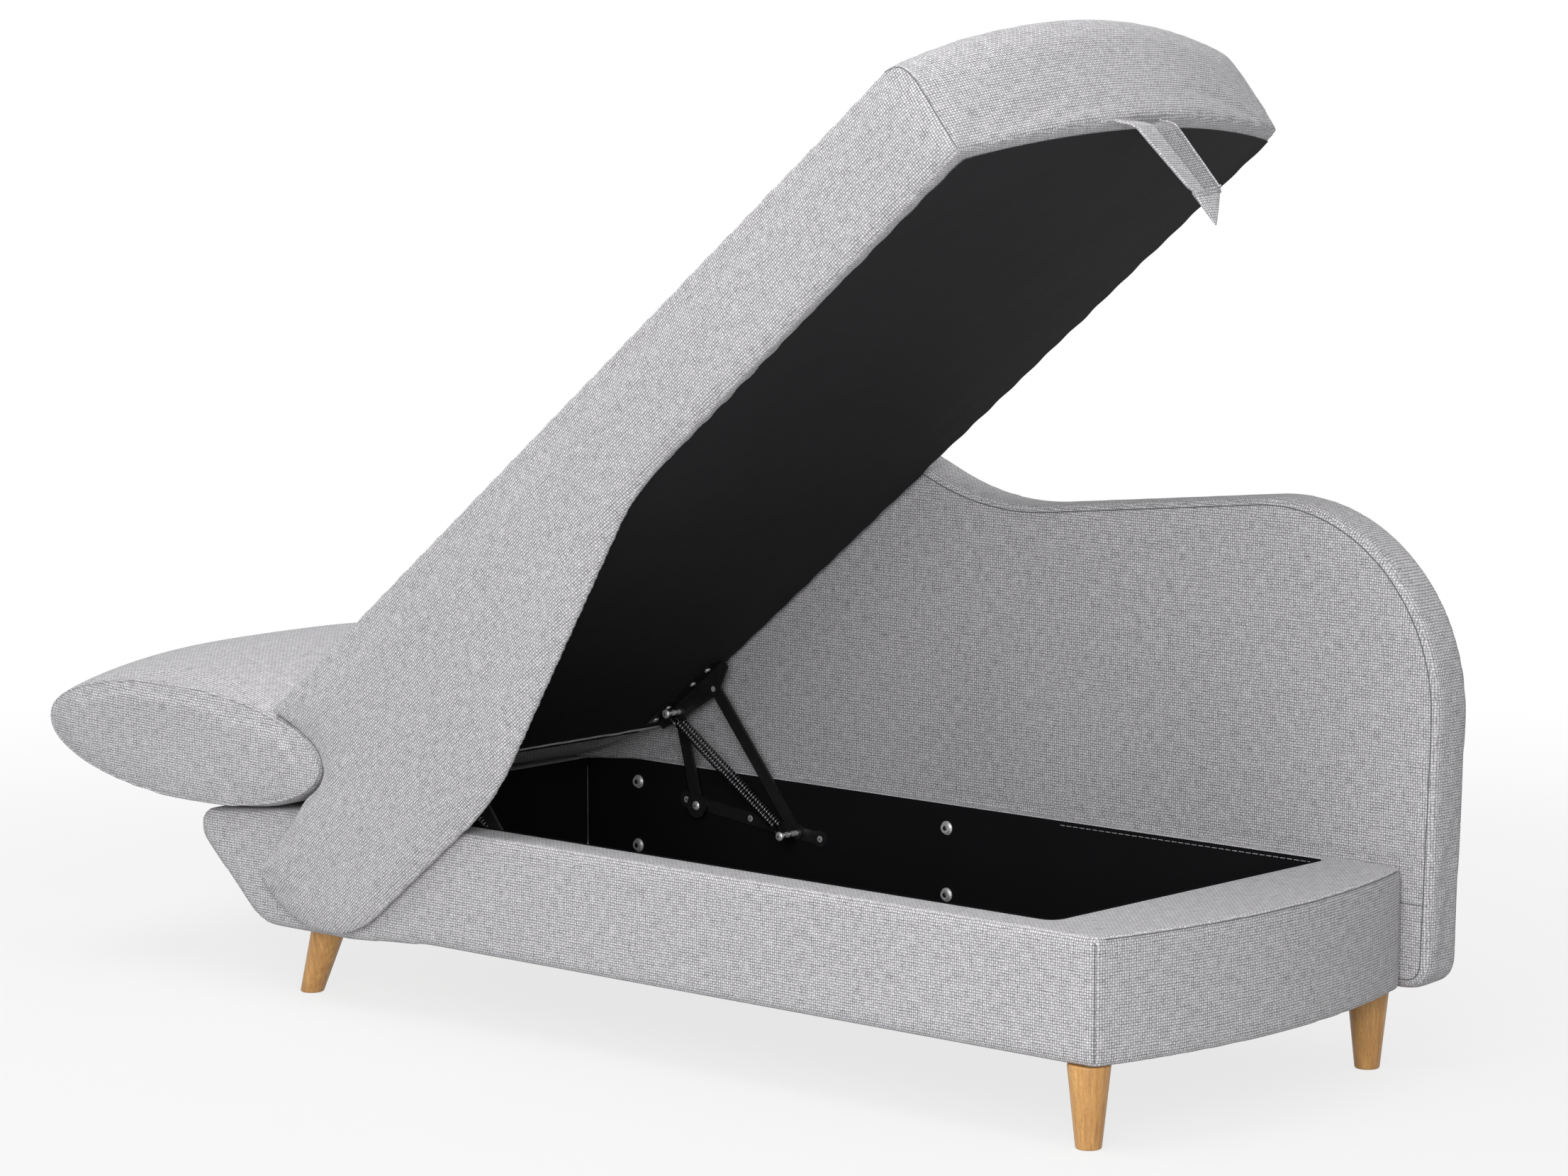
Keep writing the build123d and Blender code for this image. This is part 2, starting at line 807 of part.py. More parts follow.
# Seat cushion: crowned across, bowed and rounded at the foot, cut away round the lid frame and the headrest
seat_end = panel_top_end + 2 * lid_crown
lid_half_width = (lid_rear - lid_front) / 2
lid_bow_radius = (lid_half_width**2 + lid_bow**2) / (2 * lid_bow)
with BuildPart() as headrest_room:
    headrest_body(headrest_seam)

with BuildPart() as seat_cushion:
    with BuildSketch(lid_cross(seat_end)):
        with BuildLine():
            Line((lid_front, lid_thickness), (lid_front, 0))
            Line((lid_front, 0), (lid_rear - lid_side_draw, 0))
            ThreePointArc(
                (lid_rear - lid_side_draw, 0),
                (lid_rear, lid_thickness / 2),
                (lid_rear - lid_side_draw, lid_thickness),
            )
            ThreePointArc(
                (lid_rear - lid_side_draw, lid_thickness),
                (lid_middle, lid_thickness + lid_crown),
                (lid_front, lid_thickness),
            )
        make_face()
    extrude(amount=seat_end + 2 * lid_bow)
    with BuildSketch(lid_level(0)):
        with Locations((lid_middle, lid_bow_radius - lid_bow)):
            Circle(lid_bow_radius)
    extrude(amount=lid_thickness + 2 * lid_crown, mode=Mode.INTERSECT)
    foot_top = lid_point(-lid_bow, lid_middle, lid_thickness + lid_crown)
    foot_edge = seat_cushion.edges().sort_by_distance(foot_top)[0]
    fillet(foot_edge, radius=lid_foot_round)
    with BuildSketch(lid_level(0)):
        lid_plan(lid_wrap)
    extrude(amount=lid_deck_top, mode=Mode.SUBTRACT)
    with BuildSketch(lid_level(0)):
        box_between((lid_front, lid_head), (lid_rear, seat_end))
    extrude(amount=lid_deck_top, mode=Mode.SUBTRACT)
    add(headrest_room.part, mode=Mode.SUBTRACT)
    add(headrest_board.part, mode=Mode.SUBTRACT)
    with BuildSketch(headrest_plane(panel_front)):
        Ellipse(headrest_half_length + headrest_seam, headrest_half_height + headrest_seam)
    extrude(amount=lid_rear - panel_front, mode=Mode.SUBTRACT)

# Front side panel of the lid
with BuildPart() as side_panel_board:
    with BuildSketch(lid_side(lid_front - panel_board_thickness)):
        panel_outline(panel_board_inset)
    extrude(amount=panel_board_thickness)
    with BuildSketch(headrest_plane(panel_front)):
        Ellipse(
            headrest_half_length + panel_clearance + panel_board_inset,
            headrest_half_height + panel_clearance + panel_board_inset,
        )
    extrude(amount=panel_thickness, mode=Mode.SUBTRACT)

with BuildPart() as side_panel_cover:
    with BuildSketch(lid_side(panel_front)):
        panel_outline(0)
    extrude(amount=panel_thickness)
    with BuildSketch(headrest_plane(panel_front)):
        Ellipse(headrest_half_length + panel_clearance, headrest_half_height + panel_clearance)
    extrude(amount=panel_thickness, mode=Mode.SUBTRACT)
    add(side_panel_board.part, mode=Mode.SUBTRACT)

# Pull strap: a flat band folded back on itself, its two strands meeting above the pointed fold
with BuildPart() as pull_strap:
    half = strap_top_width / 2
    shoulder = strap_drop - strap_tip
    with BuildSketch(lid_cross(-lid_bow + strap_set_back + strap_thickness)):
        with BuildLine():
            Polyline(
                (lid_middle - half, 0),
                (lid_middle - strap_band, -shoulder),
                (lid_middle, -strap_drop),
                (lid_middle + strap_band, -shoulder),
                (lid_middle + half, 0),
                close=True,
            )
        make_face()
        with BuildLine():
            Polyline(
                (lid_middle - half + strap_band, 0),
                (lid_middle, -shoulder),
                (lid_middle + half - strap_band, 0),
                close=True,
            )
        make_face(mode=Mode.SUBTRACT)
    extrude(amount=strap_thickness)


# Lift linkage
def layer(near):
    """Upright plane at a depth inwards from the rear storage wall."""
    return side(rear_wall - near)


def bar(start, end, start_radius, end_radius):
    """Draw a flat bar with round ends, wide enough for an eye at each end."""
    reach = end - start
    angle = degrees(atan2(reach.Y, reach.X))
    with Locations((start.X, start.Y)):
        Circle(start_radius)
    with Locations((end.X, end.Y)):
        Circle(end_radius)
    middle = (start + end) * 0.5
    with Locations(Location((middle.X, middle.Y, 0), (0, 0, angle))):
        Rectangle(reach.length, arm_width)


with BuildPart() as rear_base_plate:
    with BuildSketch(layer(plate_thickness)):
        plate_foot = long_base - plate_line * (plate_foot_reach - plate_half_width)
        plate_head = short_base + plate_line * (plate_head_reach - plate_half_width)
        bar(plate_foot, plate_head, plate_half_width, plate_half_width)
        with Locations((long_base.X, long_base.Y), (short_base.X, short_base.Y)):
            Circle(plate_half_width)
            Circle(pin_radius, mode=Mode.SUBTRACT)
    extrude(amount=plate_thickness)
    add(plate_screws.part, mode=Mode.SUBTRACT)

with BuildPart() as front_base_plate:
    mirror(rear_base_plate.part, about=middle_plane)

with BuildPart() as long_arm_pins:
    with BuildSketch(layer(pin_end)):
        with Locations((long_base.X, long_base.Y)):
            Circle(pin_radius)
    extrude(amount=pin_end)
    mirror(about=middle_plane)

with BuildPart() as short_arm_pins:
    with BuildSketch(layer(washer_far)):
        with Locations((short_base.X, short_base.Y)):
            Circle(pin_radius)
    extrude(amount=washer_far)
    with BuildSketch(layer(flange_far)):
        with Locations((short_base.X, short_base.Y)):
            Circle(pin_radius + spacer_wall)
    extrude(amount=flange_far - plate_thickness)
    mirror(about=middle_plane)

with BuildPart() as short_arm_washers:
    with BuildSketch(layer(washer_far)):
        with Locations((short_base.X, short_base.Y)):
            Circle(open_eye + washer_overlap)
            Circle(pin_radius, mode=Mode.SUBTRACT)
    extrude(amount=washer_thickness)
    mirror(about=middle_plane)

with BuildPart() as rear_long_arm:
    with BuildSketch(layer(arm_far)):
        bar(long_base, long_lid_open, arm_width / 2, arm_width / 2)
        with Locations((long_base.X, long_base.Y), (long_lid_open.X, long_lid_open.Y)):
            Circle(pin_radius + pin_fit, mode=Mode.SUBTRACT)
    extrude(amount=arm_thickness)

with BuildPart() as front_long_arm:
    mirror(rear_long_arm.part, about=middle_plane)

with BuildPart() as rear_short_arm:
    with BuildSketch(layer(short_far)):
        bar(short_base, short_lid_open, open_eye, arm_width / 2)
        with Locations((short_base.X, short_base.Y)):
            Circle(open_eye_hole, mode=Mode.SUBTRACT)
        with Locations((short_lid_open.X, short_lid_open.Y)):
            Circle(pin_radius + pin_fit, mode=Mode.SUBTRACT)
    extrude(amount=arm_thickness)

with BuildPart() as front_short_arm:
    mirror(rear_short_arm.part, about=middle_plane)

with BuildPart() as rear_lid_bracket:
    with BuildSketch(lid_side(rear_wall - flange_far)):
        with Locations((long_lid_along, -long_lid_drop), (short_lid_along, -short_lid_drop)):
            Circle(bracket_eye)
        box_between((bracket_start, -short_lid_drop), (bracket_end, 0))
        make_hull()
        with Locations((long_lid_along, -long_lid_drop), (short_lid_along, -short_lid_drop)):
            Circle(pin_radius, mode=Mode.SUBTRACT)
    extrude(amount=plate_thickness)
    with BuildSketch(lid_level(-plate_thickness)):
        box_between((rear_wall - flange_near, bracket_start), (rear_wall - bracket_far, bracket_end))
    extrude(amount=plate_thickness)
    add(bracket_screws.part, mode=Mode.SUBTRACT)

with BuildPart() as front_lid_bracket:
    mirror(rear_lid_bracket.part, about=middle_plane)

with BuildPart() as lid_pivot_pins:
    with BuildSketch(lid_side(rear_wall - flange_far)):
        with Locations((long_lid_along, -long_lid_drop)):
            Circle(pin_radius)
    extrude(amount=flange_far - arm_near)
    mirror(about=middle_plane)

with BuildPart() as spring_pins:
    with BuildSketch(lid_side(rear_wall - pin_end)):
        with Locations((short_lid_along, -short_lid_drop)):
            Circle(pin_radius)
    extrude(amount=pin_end - flange_near)
    mirror(about=middle_plane)

# Springs: a close coil with a straight lead and an eye at each end, drawn as one wire
coil_radius = (spring_diameter - spring_wire) / 2
eye_radius = pin_radius + spring_wire / 2 + pin_fit
spring_from = side(0).from_local_coords((long_base.X, long_base.Y, 0))
spring_to = side(0).from_local_coords((short_lid_open.X, short_lid_open.Y, 0))
spring_axis = (spring_to - spring_from).normalized()
spring_out = Vector(0, 1, 0)
spring_side = spring_axis.cross(spring_out)
coil_length = (spring_to - spring_from).length - 2 * spring_hook_reach
coil_pitch = coil_length / spring_coils


def coil_point(start, turn):
    """Point of the coil's wire after a number of turns."""
    angle = 2 * pi * turn
    return (
        start
        + spring_axis * (spring_hook_reach + coil_pitch * turn)
        + spring_side * (coil_radius * cos(angle))
        + spring_out * (coil_radius * sin(angle))
    )


def coil_direction(turn):
    """Direction of the coil's wire after a number of turns."""
    angle = 2 * pi * turn
    around = spring_out * cos(angle) - spring_side * sin(angle)
    return (spring_axis * coil_pitch + around * (2 * pi * coil_radius)).normalized()


def spring_wire_path(start):
    """Draw the wire: an eye round the lower pin, a lead, the coil, a lead and an eye round the upper pin."""
    end = start + spring_axis * (coil_length + 2 * spring_hook_reach)
    low_eye_end = start + spring_side * eye_radius
    low_eye_middle = start - spring_axis * eye_radius
    low_eye_start = start - spring_side * eye_radius
    ThreePointArc(low_eye_start, low_eye_middle, low_eye_end)
    biarc(low_eye_end, spring_axis, coil_point(start, 0), coil_direction(0))
    for half_turn in range(2 * spring_coils):
        biarc(
            coil_point(start, half_turn / 2),
            coil_direction(half_turn / 2),
            coil_point(start, half_turn / 2 + 0.5),
            coil_direction(half_turn / 2 + 0.5),
        )
    high_eye_start = end + spring_side * eye_radius
    high_eye_middle = end + spring_axis * eye_radius
    high_eye_end = end - spring_side * eye_radius
    biarc(coil_point(start, spring_coils), coil_direction(spring_coils), high_eye_start, spring_axis)
    ThreePointArc(high_eye_start, high_eye_middle, high_eye_end)


with BuildPart() as rear_outer_spring:
    with BuildLine() as rear_wire:
        spring_wire_path(spring_from + Vector(0, rear_wall - first_spring, 0))
    with BuildSketch(Plane(origin=rear_wire.wire() @ 0, z_dir=rear_wire.wire() % 0)):
        RegularPolygon(spring_wire / 2, 4)
    sweep(clean=False)

with BuildPart() as rear_inner_spring:
    with Locations((0, first_spring - second_spring, 0)):
        add(rear_outer_spring.part, clean=False)

with BuildPart() as front_outer_spring:
    add(rear_outer_spring.part.mirror(middle_plane), clean=False)

with BuildPart() as front_inner_spring:
    add(rear_inner_spring.part.mirror(middle_plane), clean=False)

wire_points = [coil_point(Vector(0, 0, 0), number / 24) for number in range(24 * spring_coils + 1)]
least_gap = min(
    (wire_points[first] - wire_points[second]).length
    for first in range(len(wire_points))
    for second in range(first + 13, min(first + 60, len(wire_points)))
)
print(f"least gap between the turns of a spring: {least_gap - spring_wire:.2f} mm")

# Pieces by name
pieces = {
    "front_rail": front_rail,
    "rear_rail": rear_rail,
    "foot_rail": foot_rail,
    "storage_floor": storage_floor,
    "head_bulkhead": head_bulkhead,
    "prow_shell": prow_shell,
    "head_cross_rail": head_cross_rail,
    "base_front_cover": base_front_cover,
    "base_foot_cover": base_foot_cover,
    "base_head_cover": base_head_cover,
    "rear_rim_cover": rear_rim_cover,
    "storage_lining": storage_lining,
    "dust_cover": dust_cover,
    "foot_front_leg": foot_front_leg,
    "foot_rear_leg": foot_rear_leg,
    "head_front_leg": head_front_leg,
    "head_rear_leg": head_rear_leg,
    "leg_studs": leg_studs,
    "backrest_board": backrest_board,
    "backrest_cushion": backrest_cushion,
    "backrest_rear_cover": backrest_rear_cover,
    "backrest_bolts": backrest_bolts,
    "backrest_washers": backrest_washers,
    "lid_lining": lid_lining,
    "lid_front_rail": lid_front_rail,
    "lid_rear_rail": lid_rear_rail,
    "lid_foot_rail": lid_foot_rail,
    "lid_head_rail": lid_head_rail,
    "lid_slats": lid_slats,
    "lid_deck": lid_deck,
    "seat_cushion": seat_cushion,
    "side_panel_board": side_panel_board,
    "side_panel_cover": side_panel_cover,
    "headrest_board": headrest_board,
    "headrest_cushion": headrest_cushion,
    "headrest_end_front": headrest_end_front,
    "headrest_end_rear": headrest_end_rear,
    "headrest_bolts": headrest_bolts,
    "pull_strap": pull_strap,
    "rear_base_plate": rear_base_plate,
    "front_base_plate": front_base_plate,
    "plate_screws": plate_screws,
    "long_arm_pins": long_arm_pins,
    "short_arm_pins": short_arm_pins,
    "short_arm_washers": short_arm_washers,
    "rear_long_arm": rear_long_arm,
    "front_long_arm": front_long_arm,
    "rear_short_arm": rear_short_arm,
    "front_short_arm": front_short_arm,
    "rear_lid_bracket": rear_lid_bracket,
    "front_lid_bracket": front_lid_bracket,
    "bracket_screws": bracket_screws,
    "lid_pivot_pins": lid_pivot_pins,
    "spring_pins": spring_pins,
    "rear_outer_spring": rear_outer_spring,
    "rear_inner_spring": rear_inner_spring,
    "front_outer_spring": front_outer_spring,
    "front_inner_spring": front_inner_spring,
}
for name, piece in pieces.items():
    piece.part.label = name
    export_step(piece.part, f"parts/{name}.step")

# Joint places for whoever sets up the motion
for name, along, up in (
    ("long arm on the base", long_base.X, long_base.Y),
    ("lid on the long arm", long_lid_open.X, long_lid_open.Y),
    ("short arm on the lid", short_lid_open.X, short_lid_open.Y),
    ("short arm on the base", short_base.X, short_base.Y),
):
    print(f"{name}: x {foot_x - along:.2f}, z {up:.2f}")
print(f"swings: long arm {long_swing:.2f}, lid {lid_angle:.2f}, short arm {short_swing:.2f} degrees")
print(f"room needed at the open pivot {open_pivot_error:.2f} mm; foot x {foot_x:.2f}, front y {front_y:.2f}")
print(f"lid corner: along {lid_corner.X:.2f}, up {lid_corner.Y:.2f}")
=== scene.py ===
"""Looks of the storage chaise longue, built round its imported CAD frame, in metres.

Places come from the CAD frame, and sizes that its source names too are repeated below. Each upholstered
piece is remeshed from its CAD solids, softened and woven, and all but the taut base are blown up as cloth.
The linings, strap, legs, springs and screw heads are new meshes, and the steel is the CAD's own.
"""
import json
import logging
import math
from dataclasses import dataclass, field
from enum import Enum
from typing import Callable, Iterable, Sequence

import bmesh
import bpy
from mathutils import Matrix, Vector, noise
from mathutils.bvhtree import BVHTree
from mathutils.kdtree import KDTree


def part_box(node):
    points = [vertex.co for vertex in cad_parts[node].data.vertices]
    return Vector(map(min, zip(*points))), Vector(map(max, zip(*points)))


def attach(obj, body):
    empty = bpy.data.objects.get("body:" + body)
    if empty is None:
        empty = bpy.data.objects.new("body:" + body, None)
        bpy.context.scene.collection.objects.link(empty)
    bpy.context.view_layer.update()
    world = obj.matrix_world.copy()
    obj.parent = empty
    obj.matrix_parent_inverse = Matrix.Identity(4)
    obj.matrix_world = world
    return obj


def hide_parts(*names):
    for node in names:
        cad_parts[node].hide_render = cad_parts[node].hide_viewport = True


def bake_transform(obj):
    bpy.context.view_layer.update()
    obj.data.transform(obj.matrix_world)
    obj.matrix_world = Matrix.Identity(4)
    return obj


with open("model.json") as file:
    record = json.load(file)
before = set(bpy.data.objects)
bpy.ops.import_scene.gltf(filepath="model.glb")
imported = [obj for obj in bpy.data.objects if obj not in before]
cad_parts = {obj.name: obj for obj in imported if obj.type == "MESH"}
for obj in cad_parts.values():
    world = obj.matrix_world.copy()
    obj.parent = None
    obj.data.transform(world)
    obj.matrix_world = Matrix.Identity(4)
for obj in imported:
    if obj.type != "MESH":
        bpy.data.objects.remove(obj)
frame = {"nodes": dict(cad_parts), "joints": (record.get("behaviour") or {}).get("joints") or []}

LOG = logging.getLogger("chaise")
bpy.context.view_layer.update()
MM = 0.001
SAME_POINT = 0.02 * MM
FLAT_END = 0.05 * MM
SAME_LEVEL = 0.1 * MM
SEAM_STEP = 5 * MM
PUCKER_STEP = 4 * MM
STITCH_ENDS = (0.12, 0.82)
Colour = tuple[float, float, float, float]
LEG_COLOURS: tuple[Colour, Colour] = ((0.34, 0.15, 0.04, 1), (0.72, 0.41, 0.14, 1))
LINED_NODES = (
    "dust_cover",
    "lid_head_rail",
    "headrest_board",
    "front_rail",
    "rear_rail",
    "foot_rail",
    "head_bulkhead",
    "storage_floor",
)

# Sizes that the CAD source names too
COVER = 8 * MM
FOOT_BOW = 48 * MM
BASE_DEPTH = 627 * MM
BASE_LENGTH = 1572 * MM
BASE_TOP = 264 * MM
BASE_BEND = 252 * MM
BASE_DIP = 24 * MM
LEG_HEIGHT = 104 * MM
LID_ANGLE = math.radians(39)
LID_PIVOT_ALONG = 1254 * MM
LID_PIVOT_DROP = 24 * MM
LID_BOW = 45 * MM
LID_REAR = 621 * MM
LID_FRONT = -2 * MM
LID_HEAD = 1390 * MM
HEADREST_LEAN = math.radians(40.9)

# Camera fitted to the photograph
CAMERA_FROM_FOOT_CORNER = Vector((3893.5, -4909.6, 1495.3)) * MM
CAMERA_YAW = math.radians(-41.787)
CAMERA_PITCH = math.radians(7.391)
CAMERA_LENS = 123.48
CAMERA_SHIFT = (0.0007, -0.0015)

# Studio light, each lamp with its name, place, size and power
WORLD_LIGHT = 0.38
FLOOR_GLOW = 0.78
LAMPS = (
    ("top_light", (-0.3, -1.2, 4.8), 3.6, 150.0),
    ("front_light", (3.3, -4.8, 2.4), 3.5, 252.0),
)


class Body(Enum):
    """Bodies of the CAD frame that new pieces ride on."""

    FRAME = "frame"
    LONG_ARMS = "long_arms"
    LID = "lid"


class Slot(Enum):
    """Material slots of the record, named at each new piece."""

    FABRIC = "grey_fabric"
    LINING = "black_lining"
    STRAP = "strap_webbing"
    LEG = "leg_wood"
    ZINC = "zinc_steel"
    SPRING = "spring_steel"


@dataclass(frozen=True)
class Axes:
    """A local frame: along towards the head, across towards the back, up."""

    origin: Vector
    along: Vector
    across: Vector
    up: Vector

    def point(self, along: float, across: float, up: float) -> Vector:
        """Place a local point in the row frame."""
        return self.origin + self.along * along + self.across * across + self.up * up

    def local(self, point: Vector) -> Vector:
        """Give a row-frame point's along, across and up distances."""
        offset = point - self.origin
        return Vector((offset.dot(self.along), offset.dot(self.across), offset.dot(self.up)))


def joint_place(name: str) -> Vector:
    """Find a joint's place at rest in the row frame."""
    return next(Vector(joint["pos_m"]) for joint in frame["joints"] if joint["name"] == name)


def base_axes() -> Axes:
    """Give the base's local frame, at its front foot corner on the floor."""
    low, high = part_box("base_front_cover")
    corner = Vector((high.x + COVER, low.y, 0))
    return Axes(corner, Vector((-1, 0, 0)), Vector((0, 1, 0)), Vector((0, 0, 1)))


def lid_axes(base: Axes) -> Axes:
    """Frame at the lid's lower front foot corner.

    Args:
        base: the base's frame, which shares its across direction and its front.

    Returns:
        The lid's local frame.
    """
    along = Vector((-math.cos(LID_ANGLE), 0, -math.sin(LID_ANGLE)))
    up = Vector((-math.sin(LID_ANGLE), 0, math.cos(LID_ANGLE)))
    pivot = joint_place("lid_pivot")
    pivot.y = base.origin.y
    return Axes(pivot - along * LID_PIVOT_ALONG + up * LID_PIVOT_DROP, along, base.across, up)


def headrest_axes(lid: Axes) -> Axes:
    """Frame at the middle of the headrest's front end, leaning with it.

    Args:
        lid: the lid's frame.

    Returns:
        The headrest's local frame.
    """
    low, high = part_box("headrest_end_front")
    centre = (low + high) / 2
    along = lid.along * math.cos(HEADREST_LEAN) + lid.up * math.sin(HEADREST_LEAN)
    up = lid.up * math.cos(HEADREST_LEAN) - lid.along * math.sin(HEADREST_LEAN)
    return Axes(Vector((centre.x, low.y, centre.z)), along, lid.across, up)


BASE = base_axes()
LID = lid_axes(BASE)
HEADREST = headrest_axes(LID)


class Graph:
    """A small helper that builds a material's shader nodes."""

    def __init__(self, name: str) -> None:
        """Start an empty material.

        Args:
            name: the material's name.
        """
        self.material = bpy.data.materials.new(name)
        self.material.use_nodes = True
        self.tree = self.material.node_tree
        self.shader = self.tree.nodes["Principled BSDF"]

    def add(self, kind: str, inputs: dict | None = None, **settings: object) -> bpy.types.Node:
        """Add a node.

        Args:
            kind: the node's type name.
            inputs: values or sockets for its inputs, by name or number.
            settings: attributes of the node.

        Returns:
            The new node.
        """
        node = self.tree.nodes.new(kind)
        for key, value in settings.items():
            setattr(node, key, value)
        for key, value in (inputs or {}).items():
            self.put(node, key, value)
        return node

    def put(self, node: bpy.types.Node, key: str | int, value: object) -> None:
        """Set or link one input.

        Args:
            node: the node.
            key: the input's name or number.
            value: a constant or another node's output socket.
        """
        if isinstance(value, bpy.types.NodeSocket):
            self.tree.links.new(value, node.inputs[key])
        else:
            node.inputs[key].default_value = value

    def times(self, first: object, second: object) -> bpy.types.NodeSocket:
        """Multiply two values or sockets."""
        return self.maths("MULTIPLY", first, second)

    def plus(self, first: object, second: object) -> bpy.types.NodeSocket:
        """Add two values or sockets."""
        return self.maths("ADD", first, second)

    def minus(self, first: object, second: object) -> bpy.types.NodeSocket:
        """Take the second value or socket from the first."""
        return self.maths("SUBTRACT", first, second)

    def clamped(self, value: object) -> bpy.types.NodeSocket:
        """Keep a value between 0 and 1."""
        return self.add("ShaderNodeClamp", {0: value}).outputs[0]

    def place(self) -> bpy.types.NodeSocket:
        """Give the piece's own Object coordinates."""
        return self.add("ShaderNodeTexCoord").outputs["Object"]

    def maths(self, operation: str, first: object, second: object = 0.0) -> bpy.types.NodeSocket:
        """Add a maths node on one or two values or sockets."""
        return self.add("ShaderNodeMath", {0: first, 1: second}, operation=operation).outputs[0]

    def mix(self, share: object, first: object, second: object) -> bpy.types.NodeSocket:
        """Mix two colours.

        Args:
            share: how much of the second shows.
            first: the first colour or socket.
            second: the second colour or socket.

        Returns:
            The mixed colour's output.
        """
        node = self.add("ShaderNodeMix", data_type="RGBA")
        self.put(node, 0, share)
        self.put(node, 6, first)
        self.put(node, 7, second)
        return node.outputs[2]

    def noise(self, vector: object, scale: float, detail: float = 3.0) -> bpy.types.NodeSocket:
        """Add a noise texture.

        Args:
            vector: the coordinates' socket.
            scale: the noise's scale.
            detail: its detail.

        Returns:
            The noise value's output.
        """
        node = self.add("ShaderNodeTexNoise", {"Scale": scale, "Detail": detail})
        self.put(node, "Vector", vector)
        return node.outputs["Fac"]

    def stretched(self, vector: object, scale: Sequence[float]) -> bpy.types.NodeSocket:
        """Scale coordinates by axis.

        Args:
            vector: the coordinates' socket.
            scale: the factor for each axis.

        Returns:
            The scaled coordinates' output.
        """
        node = self.add("ShaderNodeMapping", {"Vector": vector})
        node.inputs["Scale"].default_value = scale
        return node.outputs["Vector"]

    def bump(
        self, height: object, distance: float, strength: float, under: object = None
    ) -> bpy.types.NodeSocket:
        """Add a bump node.

        Args:
            height: the height's socket.
            distance: the height's size in metres.
            strength: how strong it is.
            under: the normal of a bump below it.

        Returns:
            The bumped normal's output.
        """
        node = self.add("ShaderNodeBump", {"Height": height, "Distance": distance, "Strength": strength})
        if under is not None:
            self.put(node, "Normal", under)
        return node.outputs["Normal"]

    def finish(self, **inputs: object) -> bpy.types.Material:
        """Fill the shader's own sockets.

        Args:
            inputs: socket names with underscores for spaces, and their values.

        Returns:
            The finished material.
        """
        for key, value in inputs.items():
            self.put(self.shader, key.replace("_", " "), value)
        return self.material


def paled(colour: Colour, gain: float, lift: float = 0.0) -> Colour:
    """Make a colour brighter or darker.

    Args:
        colour: the colour.
        gain: the factor for its parts.
        lift: what is added to them.

    Returns:
        The new colour, opaque.
    """
    red, green, blue = (min(1.0, part * gain + lift) for part in colour[:3])
    return (red, green, blue, 1.0)


